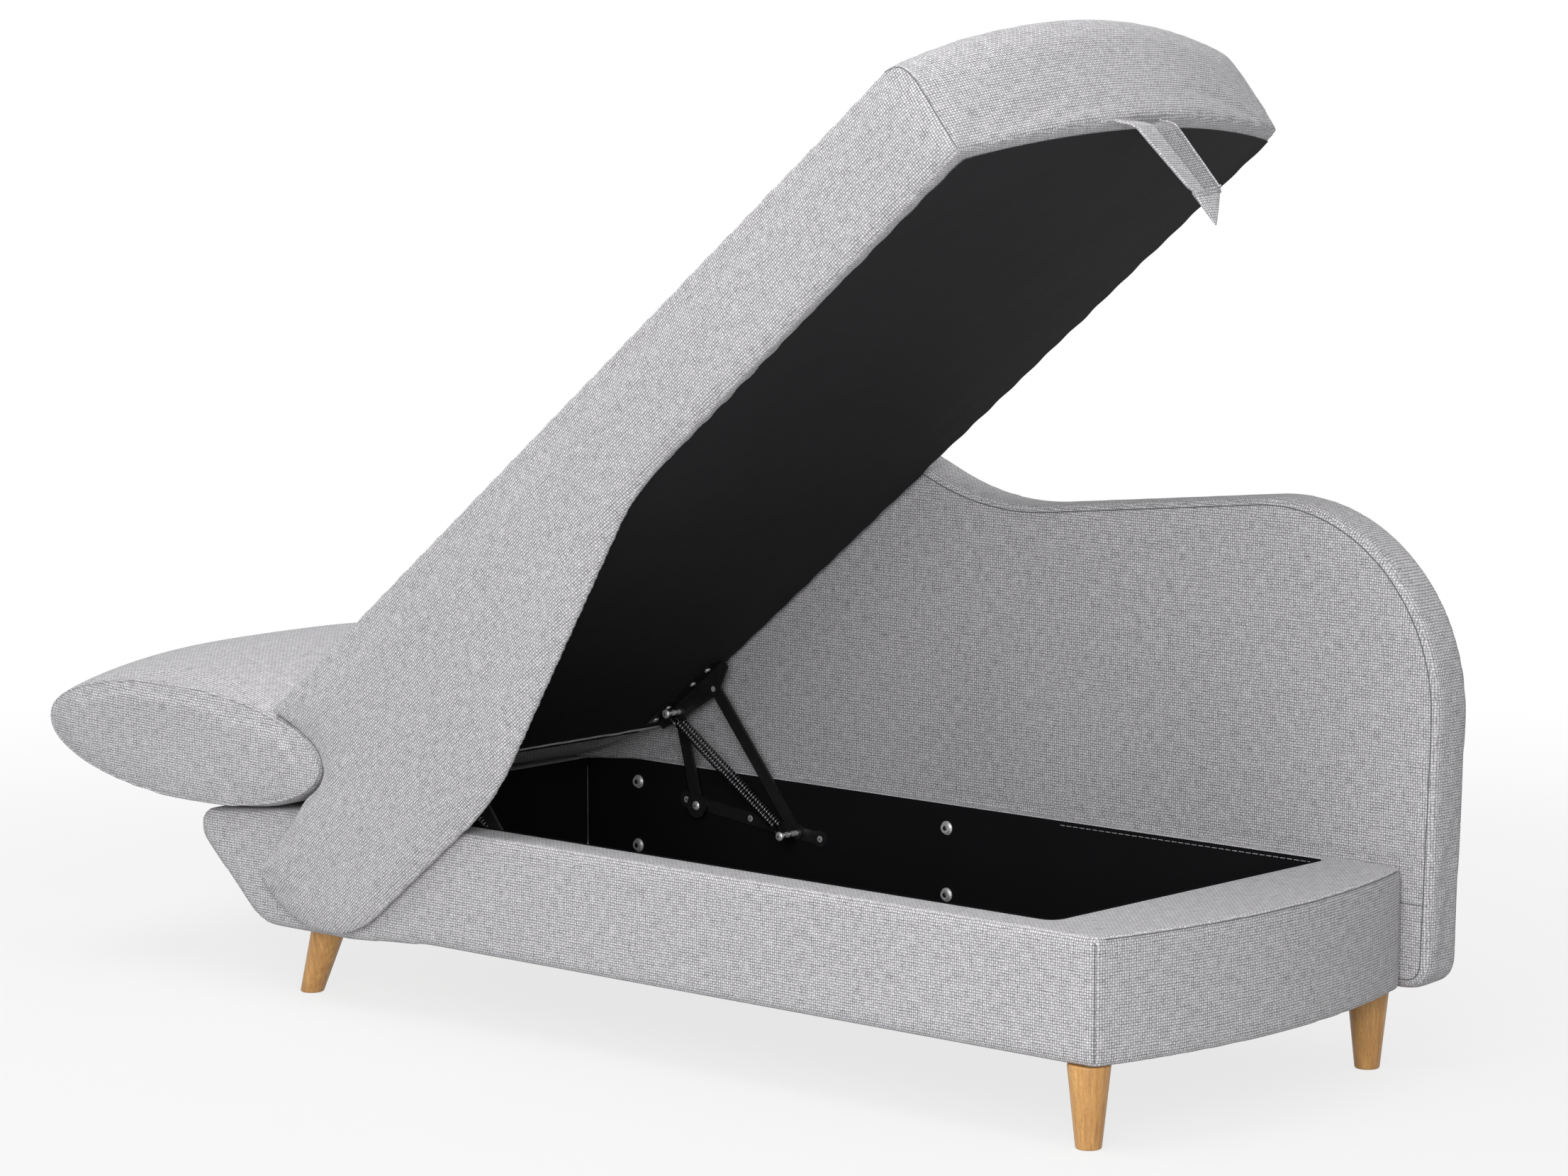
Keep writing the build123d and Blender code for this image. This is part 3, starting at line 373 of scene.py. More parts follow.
@dataclass(frozen=True)
class Weave:
    """A basket-woven upholstery fabric on a UV map in metres."""

    name: str
    dark: Colour
    light: Colour
    thread: float = 3.4 * MM
    slub_share: float = 0.42
    fuzz_share: float = 0.7
    worn_share: float = 0.08
    slub_scales: tuple[float, float] = (330.0, 55.0)
    fuzz_scale: float = 900.0
    worn_scale: float = 4.0
    ripple_scale: float = 60.0
    drift_scales: tuple[float, float] = (45.0, 170.0)
    drift_shares: tuple[float, float] = (0.5, 0.55)
    contrast: float = 0.85
    lift: float = 0.16
    over_share: float = 0.3
    pucker_height: float = 4 * MM
    thread_height: float = 0.9 * MM

    def material(self) -> bpy.types.Material:
        """Build the fabric.

        Returns:
            The material.
        """
        graph = Graph(self.name)
        coords = graph.add("ShaderNodeUVMap", uv_map="UVMap").outputs[0]
        threads = self.threads(graph, coords)
        fuzz = graph.noise(coords, self.fuzz_scale, 2.0)
        fine, long = self.slub_scales
        slub_warp = graph.noise(graph.stretched(coords, (fine, long, 1.0)), 1.0, 1.0)
        slub_weft = graph.noise(graph.stretched(coords, (long, fine, 1.0)), 1.0, 1.0)
        slub = graph.minus(graph.plus(slub_warp, slub_weft), 1.0)
        worn = graph.minus(graph.noise(coords, self.worn_scale, 3.0), 0.5)
        # Thread height darkens the tone: the weave's pattern, with painted shade in the gaps between threads
        # and on the sunken crossings.
        tone = graph.plus(graph.times(threads, self.contrast), self.lift)
        tone = graph.plus(tone, graph.times(slub, self.slub_share))
        tone = graph.plus(tone, graph.times(graph.minus(fuzz, 0.5), self.fuzz_share))
        tone = graph.plus(tone, graph.times(worn, self.worn_share))
        colour = graph.mix(graph.clamped(tone), self.dark, self.light)
        seam = graph.add("ShaderNodeAttribute", attribute_name="seam").outputs["Fac"]
        ripple = graph.noise(graph.stretched(coords, (self.ripple_scale, self.ripple_scale, 1.0)), 1.0, 1.0)
        pucker = graph.bump(graph.times(ripple, seam), self.pucker_height, 0.45)
        height = graph.plus(threads, graph.times(fuzz, 0.4))
        return graph.finish(
            Base_Color=colour,
            Roughness=0.95,
            Sheen_Weight=0.12,
            Sheen_Roughness=0.5,
            Normal=graph.bump(height, self.thread_height, 0.5, pucker),
            Specular_IOR_Level=0.15,
        )

    def threads(self, graph: Graph, coords: bpy.types.NodeSocket) -> bpy.types.NodeSocket:
        """Weave the threads: rows both ways, every other crossing raised, and a slight drift.

        Args:
            graph: the fabric's graph.
            coords: the UV map's socket.

        Returns:
            The threads' height from 0 to 1.
        """
        split = graph.add("ShaderNodeSeparateXYZ", {0: coords})
        broad, fine = self.drift_scales
        drift = graph.times(graph.noise(coords, broad, 2.0), self.drift_shares[0])
        drift = graph.plus(drift, graph.times(graph.noise(coords, fine, 1.0), self.drift_shares[1]))
        rows = []
        cells = []
        for way in split.outputs[:2]:
            place = graph.plus(graph.times(way, 1 / self.thread), drift)
            rows.append(graph.maths("ABSOLUTE", graph.maths("SINE", graph.times(place, math.pi))))
            cells.append(graph.maths("FLOOR", place))
        over = graph.maths("ABSOLUTE", graph.maths("MODULO", graph.plus(*cells), 2.0))
        raised = graph.plus(graph.times(over, self.over_share), 1 - self.over_share)
        return graph.times(graph.times(*rows), raised)


@dataclass(frozen=True)
class Felt:
    """A thin black non-woven lining."""

    name: str
    colour: Colour
    gloss: float = 0.3
    fibre_scale: float = 900.0
    cloud_scale: float = 9.0
    fibre_height: float = 0.5 * MM
    cloud_height: float = 10 * MM

    def material(self) -> bpy.types.Material:
        """Build the lining.

        Returns:
            The material.
        """
        graph = Graph(self.name)
        coords = graph.place()
        fine = graph.noise(coords, self.fibre_scale, 3.0)
        broad = graph.noise(coords, self.cloud_scale, 4.0)
        lift = graph.times(graph.plus(fine, broad), 0.5)
        colour = graph.mix(lift, self.colour, paled(self.colour, 2.4))
        under = graph.bump(broad, self.cloud_height, 0.25)
        normal = graph.bump(fine, self.fibre_height, 0.25, under)
        return graph.finish(Base_Color=colour, Roughness=0.85, Normal=normal, Specular_IOR_Level=self.gloss)


@dataclass(frozen=True)
class Timber:
    """Wood with its grain upright, and a few knots at given places."""

    name: str
    dark: Colour
    light: Colour
    roughness: float = 0.42
    knots: tuple[tuple[Vector, float], ...] = ()
    knot_wander: float = 4 * MM
    grain_scale: tuple[float, float, float] = (260.0, 260.0, 14.0)
    band_scale: tuple[float, float, float] = (46.0, 46.0, 5.0)
    pore_scale: tuple[float, float, float] = (1500.0, 1500.0, 120.0)
    pore_level: float = 0.57
    pore_share: float = 0.45
    grain_height: float = 0.4 * MM

    def material(self) -> bpy.types.Material:
        """Build the wood.

        Returns:
            The material.
        """
        graph = Graph(self.name)
        coords = graph.place()
        grain = graph.noise(graph.stretched(coords, self.grain_scale), 1.0, 5.0)
        bands = graph.noise(graph.stretched(coords, self.band_scale), 1.0, 3.0)
        pores = graph.noise(graph.stretched(coords, self.pore_scale), 1.0, 2.0)
        pore = graph.maths("GREATER_THAN", pores, self.pore_level)
        tone = graph.plus(graph.times(grain, 1.3), graph.times(bands, 0.9))
        colour = graph.mix(graph.clamped(graph.minus(tone, 0.6)), self.dark, self.light)
        colour = graph.mix(graph.times(pore, self.pore_share), colour, self.dark)
        for spot, size in self.knots:
            away = graph.add("ShaderNodeVectorMath", {0: coords, 1: spot}, operation="DISTANCE")
            wander = graph.times(graph.minus(grain, 0.5), self.knot_wander)
            edge = graph.plus(away.outputs["Value"], wander)
            fade = graph.minus(1.0, graph.times(edge, 1 / size))
            colour = graph.mix(graph.clamped(graph.times(fade, 2.2)), colour, paled(self.dark, 0.22))
        normal = graph.bump(grain, self.grain_height, 0.2)
        return graph.finish(Base_Color=colour, Roughness=self.roughness, Normal=normal)


@dataclass(frozen=True)
class Metal:
    """Coated or bare steel with small wear in its gloss."""

    name: str
    colour: Colour
    metallic: float
    roughness: float
    wear_scale: float = 160.0
    grain_scale: float = 700.0
    grain_height: float = 0.1 * MM

    def material(self) -> bpy.types.Material:
        """Build the metal.

        Returns:
            The material.
        """
        graph = Graph(self.name)
        coords = graph.place()
        wear = graph.noise(coords, self.wear_scale, 4.0)
        gloss = graph.plus(graph.times(wear, 0.25), self.roughness - 0.12)
        colour = graph.mix(wear, self.colour, paled(self.colour, 1.6, 0.01))
        normal = graph.bump(graph.noise(coords, self.grain_scale, 2.0), self.grain_height, 0.2)
        return graph.finish(Base_Color=colour, Metallic=self.metallic, Roughness=gloss, Normal=normal)


@dataclass(frozen=True)
class Palette:
    """Every finish of the object, built once."""

    fabric: bpy.types.Material
    reverse: bpy.types.Material
    seam: bpy.types.Material
    lining: bpy.types.Material
    storage: bpy.types.Material
    leg: bpy.types.Material
    board: bpy.types.Material
    black: bpy.types.Material
    zinc: bpy.types.Material
    spring: bpy.types.Material


def mixed_palette() -> Palette:
    """Build every finish.

    Returns:
        The finishes.
    """
    return Palette(
        fabric=Weave("grey_weave", (0.11, 0.107, 0.112, 1), (0.80, 0.785, 0.81, 1)).material(),
        # A darker copy of the grey weave: painted shade for the strap's inner band, which lies in the front
        # band's shadow.
        reverse=Weave("weave_painted_shade", (0.07, 0.069, 0.072, 1), (0.5, 0.49, 0.505, 1)).material(),
        # A darker copy of the grey weave, for the seam cords as painted shade along the seams, and for the
        # strap's stitches.
        seam=Weave("seam_shade_and_thread", (0.08, 0.08, 0.083, 1), (0.24, 0.24, 0.245, 1)).material(),
        lining=Felt("black_felt", (0.005, 0.005, 0.006, 1)).material(),
        storage=Felt("storage_black", (0.0025, 0.0025, 0.003, 1), 0.12).material(),
        leg=Timber("leg_timber", *LEG_COLOURS).material(),
        board=Timber("raw_board", (0.42, 0.28, 0.15, 1), (0.66, 0.5, 0.32, 1), 0.8).material(),
        black=Metal("black_coat", (0.006, 0.006, 0.007, 1), 0.0, 0.36).material(),
        zinc=Metal("zinc_plate", (0.64, 0.64, 0.65, 1), 0.7, 0.45).material(),
        spring=Metal("spring_wire", (0.15, 0.15, 0.155, 1), 1.0, 0.26).material(),
    )


def new_object(name: str, mesh: bpy.types.Mesh, material: bpy.types.Material) -> bpy.types.Object:
    """Link a mesh into the scene with one material and smooth faces.

    Args:
        name: the piece's name.
        mesh: its mesh, in the row frame.
        material: its material.

    Returns:
        The new object.
    """
    mesh.materials.clear()
    mesh.materials.append(material)
    mesh.polygons.foreach_set("use_smooth", [True] * len(mesh.polygons))
    made = bpy.data.objects.new(name, mesh)
    bpy.context.scene.collection.objects.link(made)
    LOG.info("%s has %d faces", name, len(mesh.polygons))
    return made


def mesh_of(name: str, bm: bmesh.types.BMesh) -> bpy.types.Mesh:
    """Turn a bmesh into a mesh and free it.

    Args:
        name: the mesh's name.
        bm: the bmesh.

    Returns:
        The mesh.
    """
    bmesh.ops.recalc_face_normals(bm, faces=bm.faces)
    mesh = bpy.data.meshes.new(name)
    bm.to_mesh(mesh)
    bm.free()
    return mesh


def settle(obj: bpy.types.Object) -> None:
    """Apply an object's modifiers to its mesh.

    Args:
        obj: the object.
    """
    graph = bpy.context.evaluated_depsgraph_get()
    applied = bpy.data.meshes.new_from_object(obj.evaluated_get(graph))
    old = obj.data
    obj.modifiers.clear()
    obj.data = applied
    bpy.data.meshes.remove(old)


def box_uv(obj: bpy.types.Object, axes: Axes) -> None:
    """Unwrap an object in metres, each face on the local plane that it faces.

    Args:
        obj: the object.
        axes: the local frame that the weave follows.
    """
    mesh = obj.data
    layer = mesh.uv_layers.get("UVMap") or mesh.uv_layers.new(name="UVMap")
    spots = [axes.local(vertex.co) for vertex in mesh.vertices]
    for face in mesh.polygons:
        lean = [abs(face.normal.dot(way)) for way in (axes.along, axes.across, axes.up)]
        pair = ((1, 2), (0, 2), (0, 1))[lean.index(max(lean))]
        for corner in face.loop_indices:
            spot = spots[mesh.loops[corner].vertex_index]
            layer.data[corner].uv = (spot[pair[0]], spot[pair[1]])


def fit(
    piece: bpy.types.Object,
    body: Body,
    slot: Slot,
    replaced: Sequence[str] = (),
    axes: Axes | None = None,
) -> None:
    """Unwrap a woven piece, and set it on its body and in the place of its CAD nodes.

    Args:
        piece: the piece.
        body: the body that it rides on.
        slot: its material slot; not used.
        replaced: the CAD nodes that it stands for.
        axes: the local frame that its weave follows, where it is woven.
    """
    if axes is not None:
        box_uv(piece, axes)
    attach(piece, body.value)
    if replaced:
        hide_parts(*replaced)


def ease_edges(obj: bpy.types.Object, width: float) -> None:
    """Round an object's sharp edges a little.

    Args:
        obj: the object.
        width: the bevel's width.
    """
    bevel = obj.modifiers.new("Bevel", "BEVEL")
    bevel.width = width
    bevel.segments = 2
    bevel.limit_method = "ANGLE"


def mark_seams(obj: bpy.types.Object, seams: Iterable[Sequence[Vector]], reach: float = 22 * MM) -> None:
    """Store how near each point of a piece is to its seams, for puckering.

    Args:
        obj: the piece.
        seams: lines of points.
        reach: distance at which the puckers end.
    """
    points = [point for line in seams for point in line]
    values = [0.0] * len(obj.data.vertices)
    if points:
        tree = KDTree(len(points))
        for number, point in enumerate(points):
            tree.insert(point, number)
        tree.balance()
        for vertex in obj.data.vertices:
            values[vertex.index] = max(0.0, 1 - tree.find(vertex.co)[2] / reach)
    layer = obj.data.attributes.new("seam", "FLOAT", "POINT")
    layer.data.foreach_set("value", values)


def swept(
    name: str, lines: Iterable[Sequence[Vector]], radius: float, closed: bool = False
) -> bpy.types.Mesh:
    """Sweep a round thread along each line of points.

    Args:
        name: the mesh's name.
        lines: the lines, in the row frame.
        radius: the thread's radius.
        closed: whether the lines are loops.

    Returns:
        The threads as one mesh.
    """
    curve = bpy.data.curves.new(name, "CURVE")
    curve.dimensions = "3D"
    curve.bevel_depth = radius
    curve.bevel_resolution = 2
    curve.use_fill_caps = True
    for line in lines:
        spline = curve.splines.new("POLY")
        spline.points.add(len(line) - 1)
        for spot, point in zip(spline.points, line):
            spot.co = (*point, 1)
        spline.use_cyclic_u = closed
    holder = bpy.data.objects.new(name, curve)
    mesh = bpy.data.meshes.new_from_object(holder)
    bpy.data.objects.remove(holder)
    bpy.data.curves.remove(curve)
    return mesh


def laid_grid(
    bm: bmesh.types.BMesh, columns: int, rows: int, place: Callable[[float, float], Vector]
) -> None:
    """Lay a grid and put each of its points where a rule says.

    Args:
        bm: the bmesh that gets it.
        columns: cells in its first direction.
        rows: cells in its second direction.
        place: where a point lies, from its shares of the two directions.
    """
    made = bmesh.ops.create_grid(bm, x_segments=columns, y_segments=rows, size=0.5)
    for vert in made["verts"]:
        vert.co = place(vert.co.x + 0.5, vert.co.y + 0.5)


def facing(spot: Vector, way: Vector, sizes: Sequence[float] = (1, 1, 1)) -> Matrix:
    """Give the matrix that scales a shape, turns its own Z axis to a direction and sets it at a place."""
    return Matrix.LocRotScale(spot, way.to_track_quat("Z", "Y"), Vector(sizes))


def rim_loop(node: str, axis: Vector, highest: bool) -> list[Vector]:
    """Follow the edge of a CAD node's flat end face.

    Args:
        node: the CAD node.
        axis: the direction that the face is square to.
        highest: the face furthest along the axis, or else the nearest.

    Returns:
        The longest loop of points round that face.
    """
    bm = bmesh.new()
    bm.from_mesh(frame["nodes"][node].data)
    bmesh.ops.remove_doubles(bm, verts=bm.verts, dist=SAME_POINT)
    ends = [vert.co.dot(axis) for vert in bm.verts]
    goal = max(ends) if highest else min(ends)
    faces = {
        face for face in bm.faces if all(abs(vert.co.dot(axis) - goal) < FLAT_END for vert in face.verts)
    }
    border = dict.fromkeys(edge for edge in bm.edges if sum(face in faces for face in edge.link_faces) == 1)
    best: list[Vector] = []
    while border:
        edge, _ = border.popitem()
        start, vert = edge.verts
        loop = [start.co.copy(), vert.co.copy()]
        while vert is not start:
            step = next((e for e in vert.link_edges if e in border), None)
            if step is None:
                break
            del border[step]
            vert = step.other_vert(vert)
            loop.append(vert.co.copy())
        if len(loop) > len(best):
            best = loop
    bm.free()
    return best[:-1] if (best[0] - best[-1]).length < SAME_POINT else best


def resampled(line: Sequence[Vector], step: float, closed: bool = False) -> list[Vector]:
    """Space points evenly along a line.

    Args:
        line: the line's points.
        step: the wanted spacing.
        closed: whether the line is a loop.

    Returns:
        The evenly spaced points.
    """
    ends = list(line) + ([line[0]] if closed else [])
    lengths = [0.0]
    for first, second in zip(ends, ends[1:]):
        lengths.append(lengths[-1] + (second - first).length)
    count = max(2, round(lengths[-1] / step))
    spots = []
    place = 0
    for number in range(count + (0 if closed else 1)):
        goal = lengths[-1] * number / count
        while place < len(lengths) - 2 and lengths[place + 1] < goal:
            place += 1
        span = lengths[place + 1] - lengths[place]
        share = (goal - lengths[place]) / span if span else 0.0
        spots.append(ends[place].lerp(ends[place + 1], min(1.0, share)))
    return spots


def run_of(loop: Sequence[Vector], keep: Callable[[Vector], bool]) -> list[Vector]:
    """Cut the longest unbroken run of wanted points out of a loop.

    Args:
        loop: the loop's points in order.
        keep: whether a point is wanted.

    Returns:
        The run's points in order.
    """
    gap = next((number for number, point in enumerate(loop) if not keep(point)), 0)
    best: list[Vector] = []
    run: list[Vector] = []
    for point in [*loop[gap:], *loop[:gap]]:
        run = [*run, point] if keep(point) else []
        best = run if len(run) > len(best) else best
    return best


def shells_of(bm: bmesh.types.BMesh) -> list[list[bmesh.types.BMVert]]:
    """Part a bmesh into the shells that aren't joined to each other.

    Args:
        bm: the bmesh.

    Returns:
        The points of each shell.
    """
    waiting = dict.fromkeys(bm.verts)
    found = []
    while waiting:
        front = [waiting.popitem()[0]]
        shell = []
        while front:
            vert = front.pop()
            shell.append(vert)
            for other in (edge.other_vert(vert) for edge in vert.link_edges):
                if other in waiting:
                    del waiting[other]
                    front.append(other)
        found.append(shell)
    return found


def keep_outer_shell(obj: bpy.types.Object) -> None:
    """Delete every loose shell of a mesh but the one with the most points.

    Args:
        obj: the object.
    """
    bm = bmesh.new()
    bm.from_mesh(obj.data)
    shells = sorted(shells_of(bm), key=len)
    inner = [vert for shell in shells[:-1] for vert in shell]
    bmesh.ops.delete(bm, geom=inner, context="VERTS")
    bm.to_mesh(obj.data)
    bm.free()


@dataclass
class Upholstery:
    """A fabric-covered piece that is remeshed from CAD solids and blown up as cloth."""

    name: str
    nodes: tuple[str, ...]
    body: Body
    axes: Axes
    filler: tuple[str, ...] = ()
    voxel: float = 6 * MM
    smoothing: int = 6
    pressure: float = 4.0
    cap: float = 4 * MM
    fill: float = 0.6
    seams: list[list[Vector]] = field(default_factory=list)
    held: Callable[[Vector], bool] = lambda spot: False
    simulated: bool = True
    frames: int = 20

    def build(self, palette: Palette) -> bpy.types.Object:
        """Make the piece and set it on its body.

        Args:
            palette: the finishes.

        Returns:
            The finished piece.
        """
        bm = bmesh.new()
        for node in (*self.nodes, *self.filler):
            bm.from_mesh(frame["nodes"][node].data)
        piece = new_object(self.name, mesh_of(self.name, bm), palette.fabric)
        remesh = piece.modifiers.new("Remesh", "REMESH")
        remesh.mode = "VOXEL"
        remesh.voxel_size = self.voxel
        settle(piece)
        keep_outer_shell(piece)
        self.soften(piece)
        if self.simulated:
            self.blow_up(piece)
        piece.data.polygons.foreach_set("use_smooth", [True] * len(piece.data.polygons))
        mark_seams(piece, [resampled(line, PUCKER_STEP) for line in self.seams])
        fit(piece, self.body, Slot.FABRIC, self.nodes, self.axes)
        return piece

    def soften(self, piece: bpy.types.Object) -> None:
        """Round the edges as padding under cloth does.

        Args:
            piece: the remeshed piece.
        """
        bm = bmesh.new()
        bm.from_mesh(piece.data)
        for _ in range(self.smoothing):
            bmesh.ops.smooth_vert(
                bm, verts=bm.verts, factor=0.5, use_axis_x=True, use_axis_y=True, use_axis_z=True
            )
        bm.to_mesh(piece.data)
        bm.free()

    def blow_up(self, piece: bpy.types.Object) -> None:
        """Let the cover swell as cloth under a little pressure, and keep its movement small.

        Args:
            piece: the softened piece.
        """
        rest = [vertex.co.copy() for vertex in piece.data.vertices]
        pins = [number for number, spot in enumerate(rest) if self.held(self.axes.local(spot))]
        group = piece.vertex_groups.new(name="pins")
        if pins:
            group.add(pins, 1.0, "REPLACE")
        cloth = piece.modifiers.new("Cloth", "CLOTH")
        settings = cloth.settings
        settings.quality = 3
        settings.tension_stiffness = 30
        settings.compression_stiffness = 30
        settings.shear_stiffness = 20
        settings.bending_stiffness = 4
        settings.vertex_group_mass = group.name
        settings.use_pressure = True
        settings.uniform_pressure_force = self.pressure
        settings.effector_weights.gravity = 0
        cloth.collision_settings.use_collision = False
        cloth.point_cache.frame_start = 1
        cloth.point_cache.frame_end = self.frames
        scene = bpy.context.scene
        for number in range(1, self.frames + 1):
            scene.frame_set(number)
        swollen = piece.evaluated_get(bpy.context.evaluated_depsgraph_get()).data
        spots = [vertex.co.copy() for vertex in swollen.vertices]
        piece.modifiers.clear()
        piece.vertex_groups.clear()
        for vertex, before, after in zip(piece.data.vertices, rest, spots):
            move = after - before
            if move.length > self.cap:
                move *= self.cap / move.length
            vertex.co = before + move
        scene.frame_set(1)


def stitch_line(
    name: str,
    points: Sequence[Vector],
    radius: float,
    cover: bpy.types.Object,
    body: Body,
    material: bpy.types.Material,
    closed: bool = False,
) -> None:
    """Lay a thin welt along a seam, on the cover's own surface.

    Args:
        name: the piece's name.
        points: the seam's points.
        radius: the welt's radius.
        cover: the cover that it is sewn into.
        body: the body that it rides on.
        material: its material.
        closed: whether it is a loop.
    """
    mesh = cover.data
    tree = BVHTree.FromPolygons(
        [vertex.co for vertex in mesh.vertices], [tuple(face.vertices) for face in mesh.polygons]
    )
    laid = [tree.find_nearest(point)[0] for point in resampled(points, SEAM_STEP, closed)]
    piece = new_object(name, swept(name, [eased(laid, closed)], radius, closed), material)
    fit(piece, body, Slot.FABRIC, axes=BASE)


def eased(points: Sequence[Vector], closed: bool) -> list[Vector]:
    """Even out small steps in a line of points.

    Args:
        points: the line's points.
        closed: whether the line is a loop.

    Returns:
        The smoothed points.
    """
    line = [point.copy() for point in points]
    count = len(line)
    for _ in range(3):
        before = [point.copy() for point in line]
        for number in range(count) if closed else range(1, count - 1):
            line[number] = before[number] / 2 + (before[number - 1] + before[(number + 1) % count]) / 4
    return line


def dashes(points: Sequence[Vector], length: float) -> list[list[Vector]]:
    """Part a line into stitches, each a length long with its gap, and give their two ends."""
    line = resampled(points, length)
    return [[first.lerp(second, share) for share in STITCH_ENDS] for first, second in zip(line, line[1:])]


def islands(node: str) -> list[list[Vector]]:
    """Part a CAD node into its separate solids.

    Args:
        node: the CAD node.

    Returns:
        The points of each solid.
    """
    bm = bmesh.new()
    bm.from_mesh(frame["nodes"][node].data)
    bmesh.ops.remove_doubles(bm, verts=bm.verts, dist=SAME_POINT)
    found = [[vert.co.copy() for vert in shell] for shell in shells_of(bm)]
    bm.free()
    return found


def bowed(across: float, bow: float, front: float, rear: float) -> float:
    """How far a bowed end stands out at a place across it.

    Args:
        across: the place.
        bow: the bow's height in the middle.
        front: where the bow starts.
        rear: where it ends.

    Returns:
        The distance out, towards the foot.
    """
    half = (rear - front) / 2
    radius = (half * half + bow * bow) / (2 * bow)
    middle = (front + rear) / 2
    return math.sqrt(max(0.0, radius * radius - (across - middle) ** 2)) - (radius - bow)


@dataclass
class BaseBox:
    """The covered base with its lining and legs."""

    palette: Palette
    seam_radius: float = 0.8 * MM
    corner_ends: tuple[float, float] = (6 * MM, 7 * MM)
    rim_seam_drop: float = 4 * MM
    rim_steps: int = 40
    felt_inset: float = 3 * MM
    felt_cell: float = 14 * MM
    felt_weld: float = 0.5 * MM
    felt_crease: float = math.radians(40)
    felt_drop: float = 1.5 * MM
    felt_lift: float = 0.5 * MM
    felt_waves: tuple[float, float] = (9.0, 23.0)
    felt_fade: float = 8.0
    stitched_share: float = 0.33
    stitch: float = 11 * MM
    stitch_inset: float = 1 * MM
    stitch_drop: float = 7 * MM
    stitch_radius: float = 0.5 * MM
    leg_sides: int = 64
    leg_ease: float = 2.5 * MM
    knots: tuple[tuple[float, float, float, float], ...] = (
        (0.93, -0.42, -27 * MM, 9 * MM),
        (0.96, -0.1, -3 * MM, 8 * MM),
        (0.75, -0.55, -43 * MM, 3 * MM),
    )

    def build(self) -> None:
        """Make the base's pieces."""
        self.dress_covers()
        self.dress_lining()
        self.dress_legs()

    def dress_covers(self) -> None:
        """Cover the base's boards in fabric, with seams at the foot corner and the foot's rim."""
        low, high = self.corner_ends
        corner = [BASE.point(0, 0, up) for up in (LEG_HEIGHT + low, BASE_TOP - high)]
        rim = [
            BASE.point(-bowed(across, FOOT_BOW, 0, BASE_DEPTH), across, BASE_TOP - self.rim_seam_drop)
            for across in (BASE_DEPTH * step / self.rim_steps for step in range(1, self.rim_steps))
        ]
        cover = Upholstery(
            "base_cover",
            ("base_front_cover", "base_foot_cover", "base_head_cover", "rear_rim_cover"),
            Body.FRAME,
            BASE,
            filler=("front_rail", "rear_rail", "foot_rail", "storage_floor", "head_bulkhead", "prow_shell"),
            smoothing=5,
            seams=[corner, rim],
            simulated=False,
        ).build(self.palette)
        self.clear_storage(cover)
        # Dark seam cords: painted shade along the corner and rim seams.
        for name, line in (("base_corner_seam", corner), ("base_rim_seam", rim)):
            stitch_line(name, line, self.seam_radius, cover, Body.FRAME, self.palette.seam)

    @staticmethod
    def clear_storage(cover: bpy.types.Object) -> None:
        """Push the cover's inner faces back to the storage walls, behind the lining.

        Args:
            cover: the base's cover.
        """
        low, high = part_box("storage_lining")
        for vertex in cover.data.vertices:
            spot = vertex.co
            walls = [(spot[axis] - low[axis], axis, low[axis]) for axis in range(3)]
            walls += [(high[axis] - spot[axis], axis, high[axis]) for axis in range(2)]
            gap, axis, wall = min(walls)
            if gap > 0:
                spot[axis] = wall

    def dress_lining(self) -> None:
        """Line the storage box with loose black felt, its walls as high as the rim."""
        low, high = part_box("storage_lining")
        near = BASE.local(high)
        far = BASE.local(low)
        foot, head = near.x + self.felt_inset, far.x - self.felt_inset
        front, rear = far.y + self.felt_inset, near.y - self.felt_inset
        floor = low.z + self.felt_inset
        rows = self.cells(BASE_TOP - floor)
        bm = bmesh.new()
        corners = ((foot, front), (head, front), (head, rear), (foot, rear))
        for first, second in zip(corners, (*corners[1:], corners[0])):
            start = BASE.point(*first, floor)
            run = BASE.point(*second, floor) - start
            normal = run.cross(BASE.up).normalized()
            laid_grid(
                bm,
                self.cells(run.length),
                rows,
                lambda i, j: self.loose(self.on_wall(start + run * i, j), normal, i, j),
            )
        start = BASE.point(foot, front, floor)
        run = BASE.along * (head - foot)
        rise = BASE.across * (rear - front)
        laid_grid(
            bm,
            self.cells(run.length),
            self.cells(rise.length),
            lambda i, j: self.loose(start + run * i + rise * j, BASE.up, i, j),
        )
        bmesh.ops.remove_doubles(bm, verts=bm.verts, dist=self.felt_weld)
        piece = new_object("storage_felt", mesh_of("storage_felt", bm), self.palette.storage)
        piece.data.set_sharp_from_angle(angle=self.felt_crease)
        fit(piece, Body.FRAME, Slot.LINING, ("storage_lining",))
        length, width, height = head - foot, rear - front, BASE_TOP - floor
        line = [
            BASE.point(foot + length * share, rear - self.stitch_inset, BASE_TOP - self.stitch_drop)
            for share in (0.0, self.stitched_share)
        ]
        sewn = swept("lining_stitches", dashes(line, self.stitch), self.stitch_radius)
        stitches = new_object("lining_stitches", sewn, self.palette.fabric)
        fit(stitches, Body.FRAME, Slot.LINING, axes=BASE)

    def cells(self, length: float) -> int:
        """Count the felt's cells along a length."""
        return round(length / self.felt_cell)

    def on_wall(self, low: Vector, share: float) -> Vector:
        """Find a point of a lining wall, whose top follows the base's dipping rim.

        Args:
            low: the point of the wall's foot below it.
            share: how far up the wall.

        Returns:
            The point.
        """
        dip = BASE_DIP * max(0.0, BASE.local(low).x - BASE_LENGTH + BASE_BEND) / BASE_BEND
        top = BASE_TOP - dip - self.felt_drop
        return low + BASE.up * (top - low.z) * share

